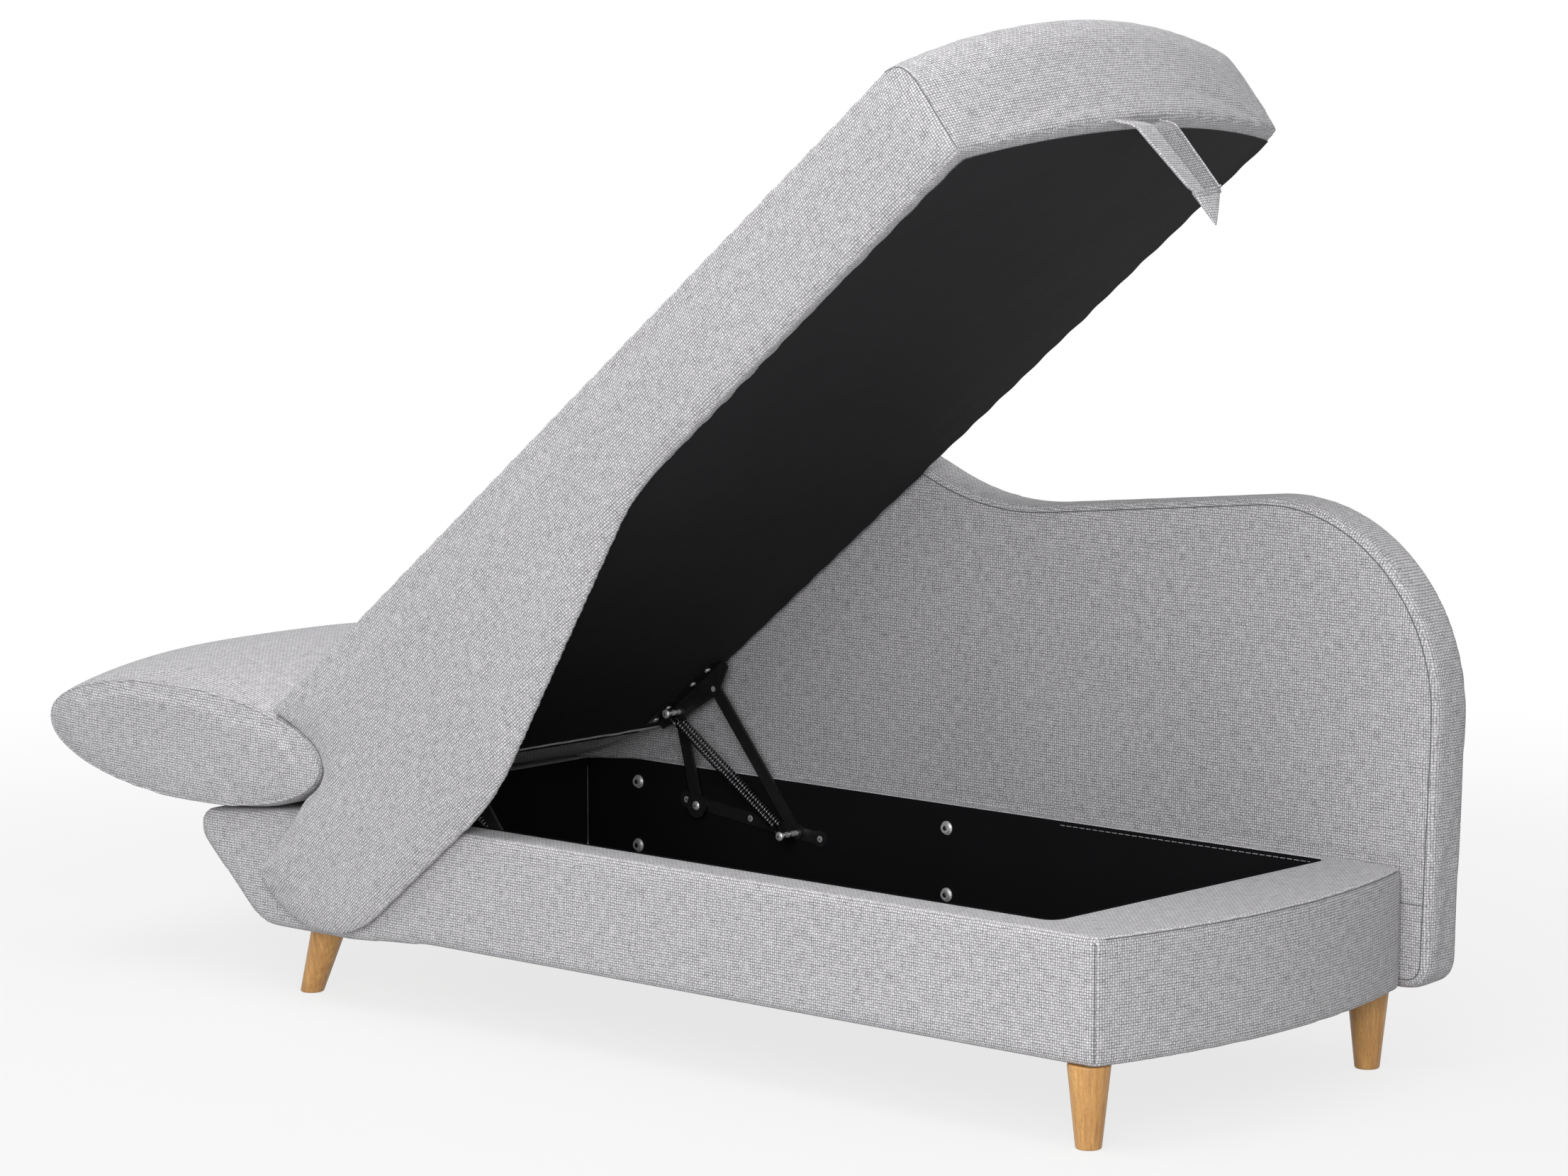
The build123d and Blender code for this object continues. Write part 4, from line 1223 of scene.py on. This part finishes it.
    def loose(self, point: Vector, normal: Vector, first: float, second: float) -> Vector:
        """Lift a point of the lining a little, as loose felt lies, and leave its edges where they meet.

        Args:
            point: the point.
            normal: the wall's normal.
            first: its share of the wall's length.
            second: its share of the wall's height.

        Returns:
            The lifted point.
        """
        edge = min(first, 1 - first, second, 1 - second)
        broad, fine = self.felt_waves
        lift = (noise.noise(point * broad) + 0.5 * noise.noise(point * fine)) * self.felt_lift
        return point + normal * lift * min(1.0, edge * self.felt_fade)

    def dress_legs(self) -> None:
        """Turn the four wooden legs with eased ends."""
        for node in ("foot_front_leg", "foot_rear_leg", "head_front_leg", "head_rear_leg"):
            foot, foot_radius = self.leg_end(node, False)
            head, head_radius = self.leg_end(node, True)
            height = head.z - foot.z
            lean = Matrix.Translation((foot + head) / 2)
            lean[0][2] = (head.x - foot.x) / height
            lean[1][2] = (head.y - foot.y) / height
            bm = bmesh.new()
            bmesh.ops.create_cone(
                bm,
                cap_ends=True,
                segments=self.leg_sides,
                radius1=foot_radius,
                radius2=head_radius,
                depth=height,
                matrix=lean,
            )
            rims = [edge for edge in bm.edges if any(len(face.verts) > 4 for face in edge.link_faces)]
            bmesh.ops.bevel(
                bm, geom=rims, offset=self.leg_ease, affect="EDGES", segments=4, profile=0.5, material=-1
            )
            wood = self.knotted(head, head_radius) if node == "head_front_leg" else self.palette.leg
            piece = new_object(f"turned_{node}", mesh_of(node, bm), wood)
            fit(piece, Body.FRAME, Slot.LEG, (node,))

    @staticmethod
    def leg_end(node: str, top: bool) -> tuple[Vector, float]:
        """Measure one end of a CAD leg.

        Args:
            node: the leg.
            top: its top end, or else its foot.

        Returns:
            The middle of that end and its radius.
        """
        points = [vertex.co for vertex in frame["nodes"][node].data.vertices]
        level = max(point.z for point in points) if top else 0.0
        ring = [point for point in points if abs(point.z - level) < FLAT_END]
        low = Vector((min(point.x for point in ring), min(point.y for point in ring), level))
        high = Vector((max(point.x for point in ring), max(point.y for point in ring), level))
        return (low + high) / 2, (high.y - low.y) / 2

    def knotted(self, head: Vector, radius: float) -> bpy.types.Material:
        """Give one leg's wood its knots near the top: shares of the radius, height from the top and size.

        Args:
            head: the middle of the leg's top.
            radius: the top's radius.

        Returns:
            The material.
        """
        knots = tuple(
            (head + Vector((out * radius, across * radius, up)), size) for out, across, up, size in self.knots
        )
        return Timber("knotty_timber", *LEG_COLOURS, knots=knots).material()


@dataclass
class BackPanel:
    """The wave-topped padded back."""

    palette: Palette
    seam_radius: float = 0.9 * MM
    join_radius: float = 0.7 * MM
    join_length: float = 120 * MM
    join_height: float = 217 * MM
    grip_depth: float = 4 * MM
    grip_rise: float = 10 * MM

    def build(self) -> None:
        """Make the padded panel and its seams."""
        axis = Vector((0, 1, 0))
        front = rim_loop("backrest_cushion", axis, False)
        rear = rim_loop("backrest_rear_cover", axis, True)
        cover = Upholstery(
            "back_panel",
            ("backrest_cushion", "backrest_rear_cover"),
            Body.FRAME,
            BASE,
            filler=("backrest_board",),
            smoothing=4,
            cap=2 * MM,
            fill=0.7,
            seams=[front, rear],
            held=lambda spot: spot.y < BASE_DEPTH + self.grip_depth and spot.z < BASE_TOP + self.grip_rise,
        ).build(self.palette)
        # Dark seam cords: painted shade along the back's end seams.
        for name, line in (("back_front_seam", front), ("back_rear_seam", rear)):
            stitch_line(name, line, self.seam_radius, cover, Body.FRAME, self.palette.seam, True)
        face = min(point.y for point in front)
        foot = max(point.x for point in front)
        join = [
            Vector((foot - self.join_length * share, face, self.join_height)) for share in (1.0, 0.5, 0.0)
        ]
        # Dark seam cord: painted shade along the back's join seam.
        stitch_line("back_join_seam", join, self.join_radius, cover, Body.FRAME, self.palette.seam)


@dataclass
class Lid:
    """The padded lid with its side panel, lining and headrest."""

    palette: Palette
    seam_radius: float = 0.8 * MM
    welt_radius: float = 1.8 * MM
    hem_radius: float = 1.6 * MM
    hem_steps: int = 120
    felt_cells: tuple[int, int] = (220, 96)
    felt_front: float = LID_FRONT + 6 * MM
    felt_rear: float = LID_REAR - 11 * MM
    felt_head: float = LID_HEAD - 3 * MM
    fabric_edge: float = 20 * MM
    staple_pitch: float = 52 * MM
    pull_reach: float = 20 * MM
    tug_waves: float = 16.0
    sag_waves: float = 7.0
    head_waves: float = 22.0
    felt_sag: float = 0.4 * MM
    felt_drop: float = 0.9 * MM
    felt_tuck: float = 0.6 * MM
    least_drop: float = 0.5 * MM
    scallop: float = 3.2 * MM
    head_scallop: float = 3 * MM
    hem_inset: float = 1 * MM
    hem_wander: float = 2 * MM
    hem_drop: float = 1.5 * MM
    hem_lift: float = 1.2 * MM
    corner_rise: float = 2 * MM
    grip_rise: float = 4 * MM
    grip_front: float = -12 * MM

    def build(self) -> None:
        """Make the lid's pieces."""
        self.dress_cover()
        self.dress_headrest()
        self.dress_lining()
        self.dress_hem()

    def dress_cover(self) -> None:
        """Cover the seat and the front side panel, sewn together along the panel's foot and top."""
        outline = rim_loop("side_panel_cover", Vector((0, 1, 0)), False)
        corner = run_of(
            outline, lambda point: LID.local(point).z > self.corner_rise and LID.local(point).x < LID_HEAD
        )
        cover = Upholstery(
            "lid_cover",
            ("seat_cushion", "side_panel_cover"),
            Body.LID,
            LID,
            filler=("side_panel_board", "lid_lining", "lid_deck", "lid_head_rail"),
            voxel=6.5 * MM,
            cap=4 * MM,
            seams=[corner],
            held=lambda spot: spot.z < self.grip_rise and spot.y > self.grip_front,
        ).build(self.palette)
        # Dark seam cord: painted shade along the side panel's seam.
        stitch_line("lid_panel_seam", corner, self.seam_radius, cover, Body.LID, self.palette.seam)

    def dress_headrest(self) -> None:
        """Cover the headrest, with a welt round each flat end."""
        axis = Vector((0, 1, 0))
        front = rim_loop("headrest_end_front", axis, False)
        rear = rim_loop("headrest_end_rear", axis, True)
        cover = Upholstery(
            "headrest_cover",
            ("headrest_cushion", "headrest_end_front", "headrest_end_rear"),
            Body.LID,
            HEADREST,
            filler=("headrest_board",),
            smoothing=2,
            cap=3 * MM,
            fill=0.7,
            seams=[front, rear],
        ).build(self.palette)
        for name, loop in (("headrest_front_welt", front), ("headrest_rear_welt", rear)):
            stitch_line(name, loop, self.welt_radius, cover, Body.LID, self.palette.fabric, True)

    def dress_lining(self) -> None:
        """Staple a black lining under the lid, its edge scalloped where it is pulled."""
        bm = bmesh.new()
        laid_grid(bm, *self.felt_cells, self.pulled)
        piece = new_object("lid_felt", mesh_of("lid_felt", bm), self.palette.lining)
        fit(piece, Body.LID, Slot.LINING, ("lid_lining",))

    def pulled(self, first: float, second: float) -> Vector:
        """Place a point of the lining, tugged towards the staples near its edges.

        Args:
            first: its share of the lid's length.
            second: its share of the lid's width.

        Returns:
            The point in the row frame.
        """
        width = self.felt_rear - self.felt_front
        across = self.felt_front + width * second
        foot = -bowed(across, LID_BOW, LID_FRONT, LID_REAR) + self.fabric_edge
        along = foot + (self.felt_head - foot) * first
        near = math.exp(-min(second, 1 - second) * width / self.pull_reach)
        end = math.exp(-(self.felt_head - along) / self.pull_reach)
        wave = 0.5 * math.sin(along * 2 * math.pi / self.staple_pitch)
        tug = noise.noise(Vector((along * self.tug_waves, round(second), 3))) + wave
        sag = self.felt_sag * noise.noise(Vector((along, across, 0)) * self.sag_waves)
        tuck = self.felt_tuck * near * (1 + 0.5 * tug)
        drop = max(self.least_drop, self.felt_drop + tuck + sag)
        side = 1 if second < 0.5 else -1
        shift = side * tug * self.scallop * near
        return LID.point(along - self.head_scallop * self.head_wave(across) * end, across + shift, -drop)

    def head_wave(self, across: float) -> float:
        """How far the head end's edge wanders at a place across the lid, from -1 to 1."""
        return noise.noise(Vector((across * self.head_waves, 5, 1)))

    def dress_hem(self) -> None:
        """Roll the cover's raw hem along the lid's head end."""
        line = []
        for step in range(self.hem_steps + 1):
            across = self.felt_front + (self.felt_rear - self.felt_front) * step / self.hem_steps
            wave = self.head_wave(across)
            along = LID_HEAD - self.hem_inset - self.hem_wander * wave
            line.append(LID.point(along, across, -self.hem_drop + self.hem_lift * wave))
        hem = new_object("lid_head_hem", swept("lid_head_hem", [line], self.hem_radius), self.palette.fabric)
        fit(hem, Body.LID, Slot.FABRIC, axes=LID)


@dataclass
class PullStrap:
    """The folded pull strap at the lid's foot: a creased band that ends in a pointed pocket."""

    palette: Palette
    middle: float = 309.5 * MM
    face: float = -40 * MM
    top: float = 86 * MM
    band: float = 31 * MM
    shoulder: float = 116 * MM
    drop: float = 169 * MM
    kick: float = 16 * MM
    kick_drop: float = 22 * MM
    pocket: float = 12 * MM
    crease: float = -27 * MM
    crease_run: float = 27 * MM
    start: float = -24 * MM
    lean: float = 1 * MM
    tip: float = -23 * MM
    cloth: float = 2.5 * MM
    edge: float = 0.9 * MM
    stitch: float = 4.5 * MM
    stitch_share: float = 0.14
    stitch_lift: float = 0.2 * MM
    stitch_radius: float = 0.45 * MM
    piping_radius: float = 1.1 * MM
    lip_levels: tuple[float, float] = (1.0, 0.88)
    lip_dip: float = 4 * MM
    lip_slant: float = 4 * MM
    pocket_front: float = 4 * MM
    pocket_point: float = 0.05
    tuck_from: float = 0.91
    fold: float = 3 * MM
    inner_fold: float = 6 * MM
    inner_flat: float = 2 * MM
    inner_gap: float = 1 * MM
    inner_shift: float = 6 * MM
    above_edge: float = 3 * MM
    in_pocket: float = 9 * MM
    steps: int = 24
    lip_steps: int = 30

    def build(self) -> None:
        """Fold the band's two halves and the pocket, and sew them."""
        bm = bmesh.new()
        bmesh.ops.create_cone(
            bm,
            cap_ends=True,
            segments=40,
            radius1=self.pocket_point,
            radius2=1,
            depth=1,
            matrix=Matrix.Translation((0, 0, 0.5)),
        )
        slants = [edge for edge in bm.edges if abs(edge.verts[0].co.z - edge.verts[1].co.z) > 0.5]
        bmesh.ops.subdivide_edges(bm, edges=slants, cuts=6)
        for vert in bm.verts:
            vert.co = self.strap_pocket(vert.co)
        pieces = [new_object("strap_pocket", mesh_of("strap_pocket", bm), self.palette.fabric)]
        # The inner band takes the darker weave: painted shade where the front band shadows it.
        strands = ((-1, "strap_band", self.palette.fabric), (1, "strap_inner_band", self.palette.reverse))
        for side, name, material in strands:
            bm = bmesh.new()
            laid_grid(bm, 6, self.steps, lambda across, down: self.strap_half(side, across, down))
            bmesh.ops.recalc_face_normals(bm, faces=bm.faces)
            bmesh.ops.solidify(bm, geom=bm.faces[:], thickness=self.cloth)
            pieces.append(new_object(name, mesh_of(name, bm), material))
        for piece, replaced in zip(pieces, ((), ("pull_strap",), ())):
            ease_edges(piece, self.edge)
            fit(piece, Body.LID, Slot.STRAP, replaced, LID)
        self.sew()

    def sew(self) -> None:
        """Add the strap's edge piping, its pocket's lip and its stitches."""
        edges = []
        rows = []
        downs = [step / self.steps for step in range(self.steps + 1)]
        for side in (-1, 1):
            edges.append([self.strap_half(side, 0.0, down) for down in downs])
            inner = [self.strap_half(side, self.stitch_share, down) for down in downs]
            rows += dashes([point - LID.along * self.stitch_lift for point in inner], self.stitch)
        turns = [math.pi * (1 + step / self.lip_steps) for step in range(self.lip_steps + 1)]
        lips = [
            [self.strap_pocket(Vector((math.cos(turn), math.sin(turn), 1)) * level) for turn in turns]
            for level in self.lip_levels
        ]
        edges.append(lips[0])
        rows += dashes(lips[1], self.stitch)
        for name, lines, radius, material in (
            ("strap_piping", edges, self.piping_radius, self.palette.fabric),
            ("strap_stitches", rows, self.stitch_radius, self.palette.seam),
        ):
            sewn = new_object(name, swept(name, lines, radius), material)
            fit(sewn, Body.LID, Slot.STRAP, axes=LID)

    def strap_half(self, side: int, across: float, down: float) -> Vector:
        """Place a point of one half of the creased band.

        Args:
            side: -1 for the front half, 1 for the rear half.
            across: its share of the way from the outer edge to the crease.
            down: its share of the way from the lid to the pocket.

        Returns:
            The point in the row frame.
        """
        tuck = 1 - 2 * max(0.0, down - self.tuck_from)
        middle = self.start + (self.lean - self.start) * down
        half = (self.top / 2 + (self.band - self.top / 2) * down) * tuck
        outer = middle + side * half
        inner = self.crease + self.crease_run * down
        bend = math.sin(across * math.pi / 2)
        depth = self.fold * bend
        if side > 0:
            inner -= self.inner_shift * (1 - down)
            depth = (self.inner_fold - self.inner_flat * down) * bend + self.inner_gap
        up = self.above_edge - (self.shoulder + self.in_pocket) * down
        return self.strap_point(outer + (inner - outer) * across, depth, up)

    def strap_pocket(self, spot: Vector) -> Vector:
        """Flatten a point of a unit cone into the strap's pointed pocket.

        Args:
            spot: the point, whose tip lies at a height of 0 and whose rim lies at 1.

        Returns:
            The point in the row frame.
        """
        rim = self.shoulder + self.lip_dip * max(0.0, -spot.y) - self.lip_slant * spot.x * spot.z
        up = -rim - (self.drop - self.shoulder) * (1 - spot.z)
        depth = spot.y * (self.pocket - self.pocket_front if spot.y > 0 else self.pocket_front)
        middle = self.tip + (self.lean - self.tip) * spot.z
        return self.strap_point(middle + spot.x * self.band, depth, up)

    def strap_point(self, place: float, depth: float, up: float) -> Vector:
        """Place a point of the strap, which bends out over the lid's edge to hang clear of the base.

        Args:
            place: distance across from its middle.
            depth: distance towards the head from its outer face.
            up: height from the lid's underside.

        Returns:
            The point in the row frame.
        """
        kick = self.kick * math.sin(min(1.0, max(0.0, -up / self.kick_drop)) * math.pi / 2)
        return LID.point(self.face - kick + depth, self.middle + place, up)


@dataclass
class Linkage:
    """The spring-assisted lift linkage on both sides."""

    palette: Palette
    screw_radius: float = 4.6 * MM
    pin_radius: float = 6.5 * MM
    flat_rise: float = 0.3 * MM
    screw_rise: float = 2.2 * MM
    pin_rise: float = 2.6 * MM
    recess: float = 0.3 * MM
    cross: tuple[float, float] = (4.4 * MM, 0.9 * MM)
    socket_radius: float = 3.6 * MM
    socket_rise: float = 0.1 * MM
    spring_reach: float = 20 * MM
    spring_eye: float = 4.9 * MM
    eye_turn: float = 1.6 * math.pi
    spring_radius: float = 4.6 * MM
    spring_wire: float = 1.15 * MM
    spring_turns: int = 44
    turn_steps: int = 16
    spring_straight: float = 0.7
    edge: float = 0.4 * MM
    black_nodes: tuple[str, ...] = (
        "rear_base_plate",
        "front_base_plate",
        "short_arm_washers",
        "rear_long_arm",
        "front_long_arm",
        "rear_short_arm",
        "front_short_arm",
        "rear_lid_bracket",
        "front_lid_bracket",
    )
    zinc_nodes: tuple[str, ...] = (
        "plate_screws",
        "bracket_screws",
        "long_arm_pins",
        "short_arm_pins",
        "lid_pivot_pins",
        "spring_pins",
        "backrest_bolts",
        "backrest_washers",
        "leg_studs",
        "headrest_bolts",
    )

    def build(self) -> None:
        """Finish the steel, wind the springs and set the screw heads."""
        self.dress_steel()
        self.dress_springs()
        self.dress_heads()

    def dress_heads(self) -> None:
        """Set cross-heads on the linkage's screws and open pins, their recesses painted as black crosses of
        shade, and a dark hexagon on each back bolt as painted shade for its socket.
        """
        domes = bmesh.new()
        recess_shades = bmesh.new()
        for node, radius, rise in (
            ("plate_screws", self.screw_radius, self.flat_rise),
            ("long_arm_pins", self.pin_radius, self.pin_rise),
            ("short_arm_pins", self.pin_radius, self.pin_rise),
        ):
            for island in islands(node):
                self.cross_head(domes, recess_shades, *self.end_of(island, BASE.across), radius, rise)
        # A thin black hexagon on each bolt head: painted shade for its socket.
        for island in islands("backrest_bolts"):
            spot, way = self.end_of(island, BASE.across)
            bmesh.ops.create_cone(
                recess_shades,
                cap_ends=True,
                segments=6,
                radius1=self.socket_radius,
                radius2=self.socket_radius,
                depth=self.recess,
                matrix=facing(spot + way * self.socket_rise, way),
            )
        lid_domes = bmesh.new()
        lid_recess_shades = bmesh.new()
        for island in islands("bracket_screws"):
            low = min(LID.local(point).z for point in island)
            level = [point for point in island if LID.local(point).z - low < SAME_LEVEL]
            spot = sum(level, Vector()) / len(level)
            self.cross_head(lid_domes, lid_recess_shades, spot, -LID.up, self.screw_radius, self.screw_rise)
        for island in islands("spring_pins"):
            end = self.end_of(island, BASE.across)
            self.cross_head(lid_domes, lid_recess_shades, *end, self.pin_radius, self.pin_rise)
        for name, bm, material, body in (
            ("base_screw_heads", domes, self.palette.zinc, Body.FRAME),
            ("base_recess_shade_marks", recess_shades, self.palette.black, Body.FRAME),
            ("lid_screw_heads", lid_domes, self.palette.zinc, Body.LID),
            ("lid_recess_shade_marks", lid_recess_shades, self.palette.black, Body.LID),
        ):
            fit(new_object(name, mesh_of(name, bm), material), body, Slot.ZINC)

    def cross_head(
        self,
        domes: bmesh.types.BMesh,
        recess_shades: bmesh.types.BMesh,
        spot: Vector,
        way: Vector,
        radius: float,
        rise: float,
    ) -> None:
        """Put a domed head on a pin's or screw's open end, with a black cross on it as the painted shade of
        its recess.

        Args:
            domes: the bmesh that gets the dome.
            recess_shades: the bmesh that gets the cross, its recess's painted shade.
            spot: the middle of the end.
            way: the direction that the end faces.
            radius: the dome's radius.
            rise: the dome's height.
        """
        dome = facing(spot, way, (radius, radius, rise))
        bmesh.ops.create_uvsphere(domes, u_segments=24, v_segments=12, radius=1, matrix=dome)
        # Two crossed thin black boxes on the dome: painted shade for the cross recess.
        long, wide = self.cross
        for sizes in ((long, wide, self.recess), (wide, long, self.recess)):
            bmesh.ops.create_cube(recess_shades, size=1, matrix=facing(spot + way * rise, way, sizes))

    @staticmethod
    def end_of(island: list[Vector], axis: Vector) -> tuple[Vector, Vector]:
        """Find a pin's end that points to the middle of the storage box.

        Args:
            island: the points of the pin.
            axis: the pin's axis.

        Returns:
            The middle of that end, and the direction that it faces.
        """
        low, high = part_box("storage_lining")
        middle = ((low + high) / 2).dot(axis)
        tip = min(island, key=lambda point: abs(point.dot(axis) - middle))
        level = [point for point in island if abs(point.dot(axis) - tip.dot(axis)) < SAME_LEVEL]
        spot = sum(level, Vector()) / len(level)
        return spot, axis if spot.dot(axis) < middle else -axis

    def dress_steel(self) -> None:
        """Give the CAD's steel pieces their finish and eased edges."""
        for names, material in ((self.black_nodes, self.palette.black), (self.zinc_nodes, self.palette.zinc)):
            for name in names:
                node = frame["nodes"][name]
                node.data.materials.clear()
                node.data.materials.append(material)
                ease_edges(node, self.edge)

    def dress_springs(self) -> None:
        """Wind each tension spring closely between its two pins."""
        low = joint_place("long_arm_pivot")
        high = joint_place("short_arm_pivot")
        for node in ("rear_outer_spring", "rear_inner_spring", "front_outer_spring", "front_inner_spring"):
            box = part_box(node)
            middle = (box[0].y + box[1].y) / 2
            start = Vector((low.x, middle, low.z))
            end = Vector((high.x, middle, high.z))
            piece = new_object(f"wound_{node}", mesh_of(node, self.wind(start, end)), self.palette.spring)
            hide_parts(node)
            bend = start.lerp(end, self.spring_straight)
            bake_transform(piece)

    def wind(self, start: Vector, end: Vector) -> bmesh.types.BMesh:
        """Wind one spring: a close coil, and at each end a neck and an open eye round its pin.

        Args:
            start: the middle of its lower pin.
            end: the middle of its upper pin.

        Returns:
            The spring as a bmesh.
        """
        bm = bmesh.new()
        axis = (end - start).normalized()
        out = BASE.across
        side = axis.cross(out)

        def ring(spot: Vector, way: Vector) -> list[bmesh.types.BMVert | bmesh.types.BMEdge]:
            """Set a ring of the wire's outline at a place, square to a direction."""
            made = bmesh.ops.create_circle(
                bm, segments=8, radius=self.spring_wire, matrix=facing(spot, way)
            )["verts"]
            return [*made, *dict.fromkeys(edge for vert in made for edge in vert.link_edges)]

        for pin, way, turn in ((start, axis, -self.eye_turn), (end, -axis, self.eye_turn)):
            root = pin + side * self.spring_eye
            neck = way * self.spring_reach / 2
            bmesh.ops.spin(bm, geom=ring(root, way), cent=pin, axis=out, angle=turn, steps=24)
            bmesh.ops.spin(bm, geom=ring(root, way), cent=pin, axis=out, dvec=neck, angle=0, steps=2)
        length = (end - start).length - 2 * self.spring_reach
        steps = self.spring_turns * self.turn_steps
        foot = start + axis * self.spring_reach
        bmesh.ops.spin(
            bm,
            geom=ring(foot + side * self.spring_radius, out),
            cent=foot,
            axis=axis,
            dvec=axis * length / steps,
            angle=2 * math.pi * self.spring_turns,
            steps=steps,
        )
        bmesh.ops.holes_fill(bm, edges=[edge for edge in bm.edges if edge.is_boundary], sides=8)
        return bm


@dataclass
class Studio:
    """Floor, light and camera."""

    floor_half: float = 30.0
    floor_colours: tuple[Colour, Colour] = ((0.54, 0.54, 0.54, 1), (0.58, 0.58, 0.58, 1))
    glow_from: float = 1.2
    glow_to: float = 3.2
    target: tuple[float, float, float] = (0, 0, 0.5)

    def build(self) -> None:
        """Set up the stage."""
        self.lay_floor()
        self.light()
        self.aim()

    def lay_floor(self) -> None:
        """Lay a pale floor that runs into the background and keeps the shadow."""
        bm = bmesh.new()
        bmesh.ops.create_grid(bm, x_segments=1, y_segments=1, size=self.floor_half)
        graph = Graph("pale_floor")
        coords = graph.place()
        grain = graph.noise(coords, 3.0, 3.0)
        colour = graph.mix(grain, *self.floor_colours)
        material = graph.finish(Base_Color=colour, Roughness=0.8)
        glow = graph.add("ShaderNodeEmission", {"Color": (1, 1, 1, 1), "Strength": 1.0})
        away = graph.add("ShaderNodeVectorMath", {0: coords}, operation="LENGTH").outputs["Value"]
        ramp = {"Value": away, "From Min": self.glow_from, "From Max": self.glow_to}
        ramp |= {"To Min": FLOOR_GLOW, "To Max": 1.0}
        reach = graph.add("ShaderNodeMapRange", ramp, interpolation_type="SMOOTHSTEP")
        share = graph.times(self.seen(graph.tree), reach.outputs["Result"])
        both = graph.add("ShaderNodeMixShader", {0: share, 1: graph.shader.outputs[0], 2: glow.outputs[0]})
        graph.put(graph.tree.nodes["Material Output"], "Surface", both.outputs[0])
        new_object("floor", mesh_of("floor", bm), material)

    @staticmethod
    def seen(tree: bpy.types.NodeTree) -> bpy.types.NodeSocket:
        """Tell rays that show the background from those that light the object.

        Args:
            tree: the node tree that asks.

        Returns:
            A socket that is 1 for camera, glossy and transmission rays.
        """
        rays = tree.nodes.new("ShaderNodeLightPath")
        total = rays.outputs["Is Camera Ray"]
        for name in ("Is Glossy Ray", "Is Transmission Ray"):
            either = tree.nodes.new("ShaderNodeMath")
            either.operation = "MAXIMUM"
            tree.links.new(total, either.inputs[0])
            tree.links.new(rays.outputs[name], either.inputs[1])
            total = either.outputs[0]
        return total

    def light(self) -> None:
        """Hang soft studio lights in a white room."""
        world = bpy.data.worlds.new("studio")
        world.use_nodes = True
        tree = world.node_tree
        strength = tree.nodes.new("ShaderNodeMapRange")
        strength.inputs["To Min"].default_value = WORLD_LIGHT
        strength.inputs["To Max"].default_value = 1.0
        tree.links.new(self.seen(tree), strength.inputs["Value"])
        tree.nodes["Background"].inputs["Color"].default_value = (1, 1, 1, 1)
        tree.links.new(strength.outputs["Result"], tree.nodes["Background"].inputs["Strength"])
        bpy.context.scene.world = world
        for name, place, size, power in LAMPS:
            data = bpy.data.lights.new(name, "AREA")
            data.size = size
            data.energy = power
            lamp = bpy.data.objects.new(name, data)
            lamp.location = place
            lamp.rotation_euler = (Vector(self.target) - Vector(place)).to_track_quat("-Z", "Y").to_euler()
            bpy.context.scene.collection.objects.link(lamp)

    def aim(self) -> None:
        """Set the camera at the photograph's place."""
        data = bpy.data.cameras.new("camera")
        data.lens = CAMERA_LENS
        data.shift_x, data.shift_y = CAMERA_SHIFT
        data.dof.use_dof = False
        camera = bpy.data.objects.new("camera", data)
        camera.location = BASE.origin + CAMERA_FROM_FOOT_CORNER
        level = math.cos(CAMERA_PITCH)
        ahead = Vector((math.sin(CAMERA_YAW) * level, math.cos(CAMERA_YAW) * level, -math.sin(CAMERA_PITCH)))
        camera.rotation_euler = ahead.to_track_quat("-Z", "Y").to_euler()
        bpy.context.scene.collection.objects.link(camera)
        bpy.context.scene.camera = camera
        bpy.context.scene.view_settings.view_transform = "Standard"


def dress_boards(palette: Palette) -> None:
    """Finish the hidden boards and the dust cover.

    Args:
        palette: the finishes.
    """
    for name, node in frame["nodes"].items():
        if node.hide_render or node.modifiers:
            continue
        node.data.materials.clear()
        node.data.materials.append(palette.lining if name in LINED_NODES else palette.board)


def main() -> None:
    """Build the looks."""
    logging.basicConfig(level=logging.INFO)
    palette = mixed_palette()
    BaseBox(palette).build()
    BackPanel(palette).build()
    Lid(palette).build()
    PullStrap(palette).build()
    Linkage(palette).build()
    dress_boards(palette)
    Studio().build()


if __name__ == "__main__":
    main()
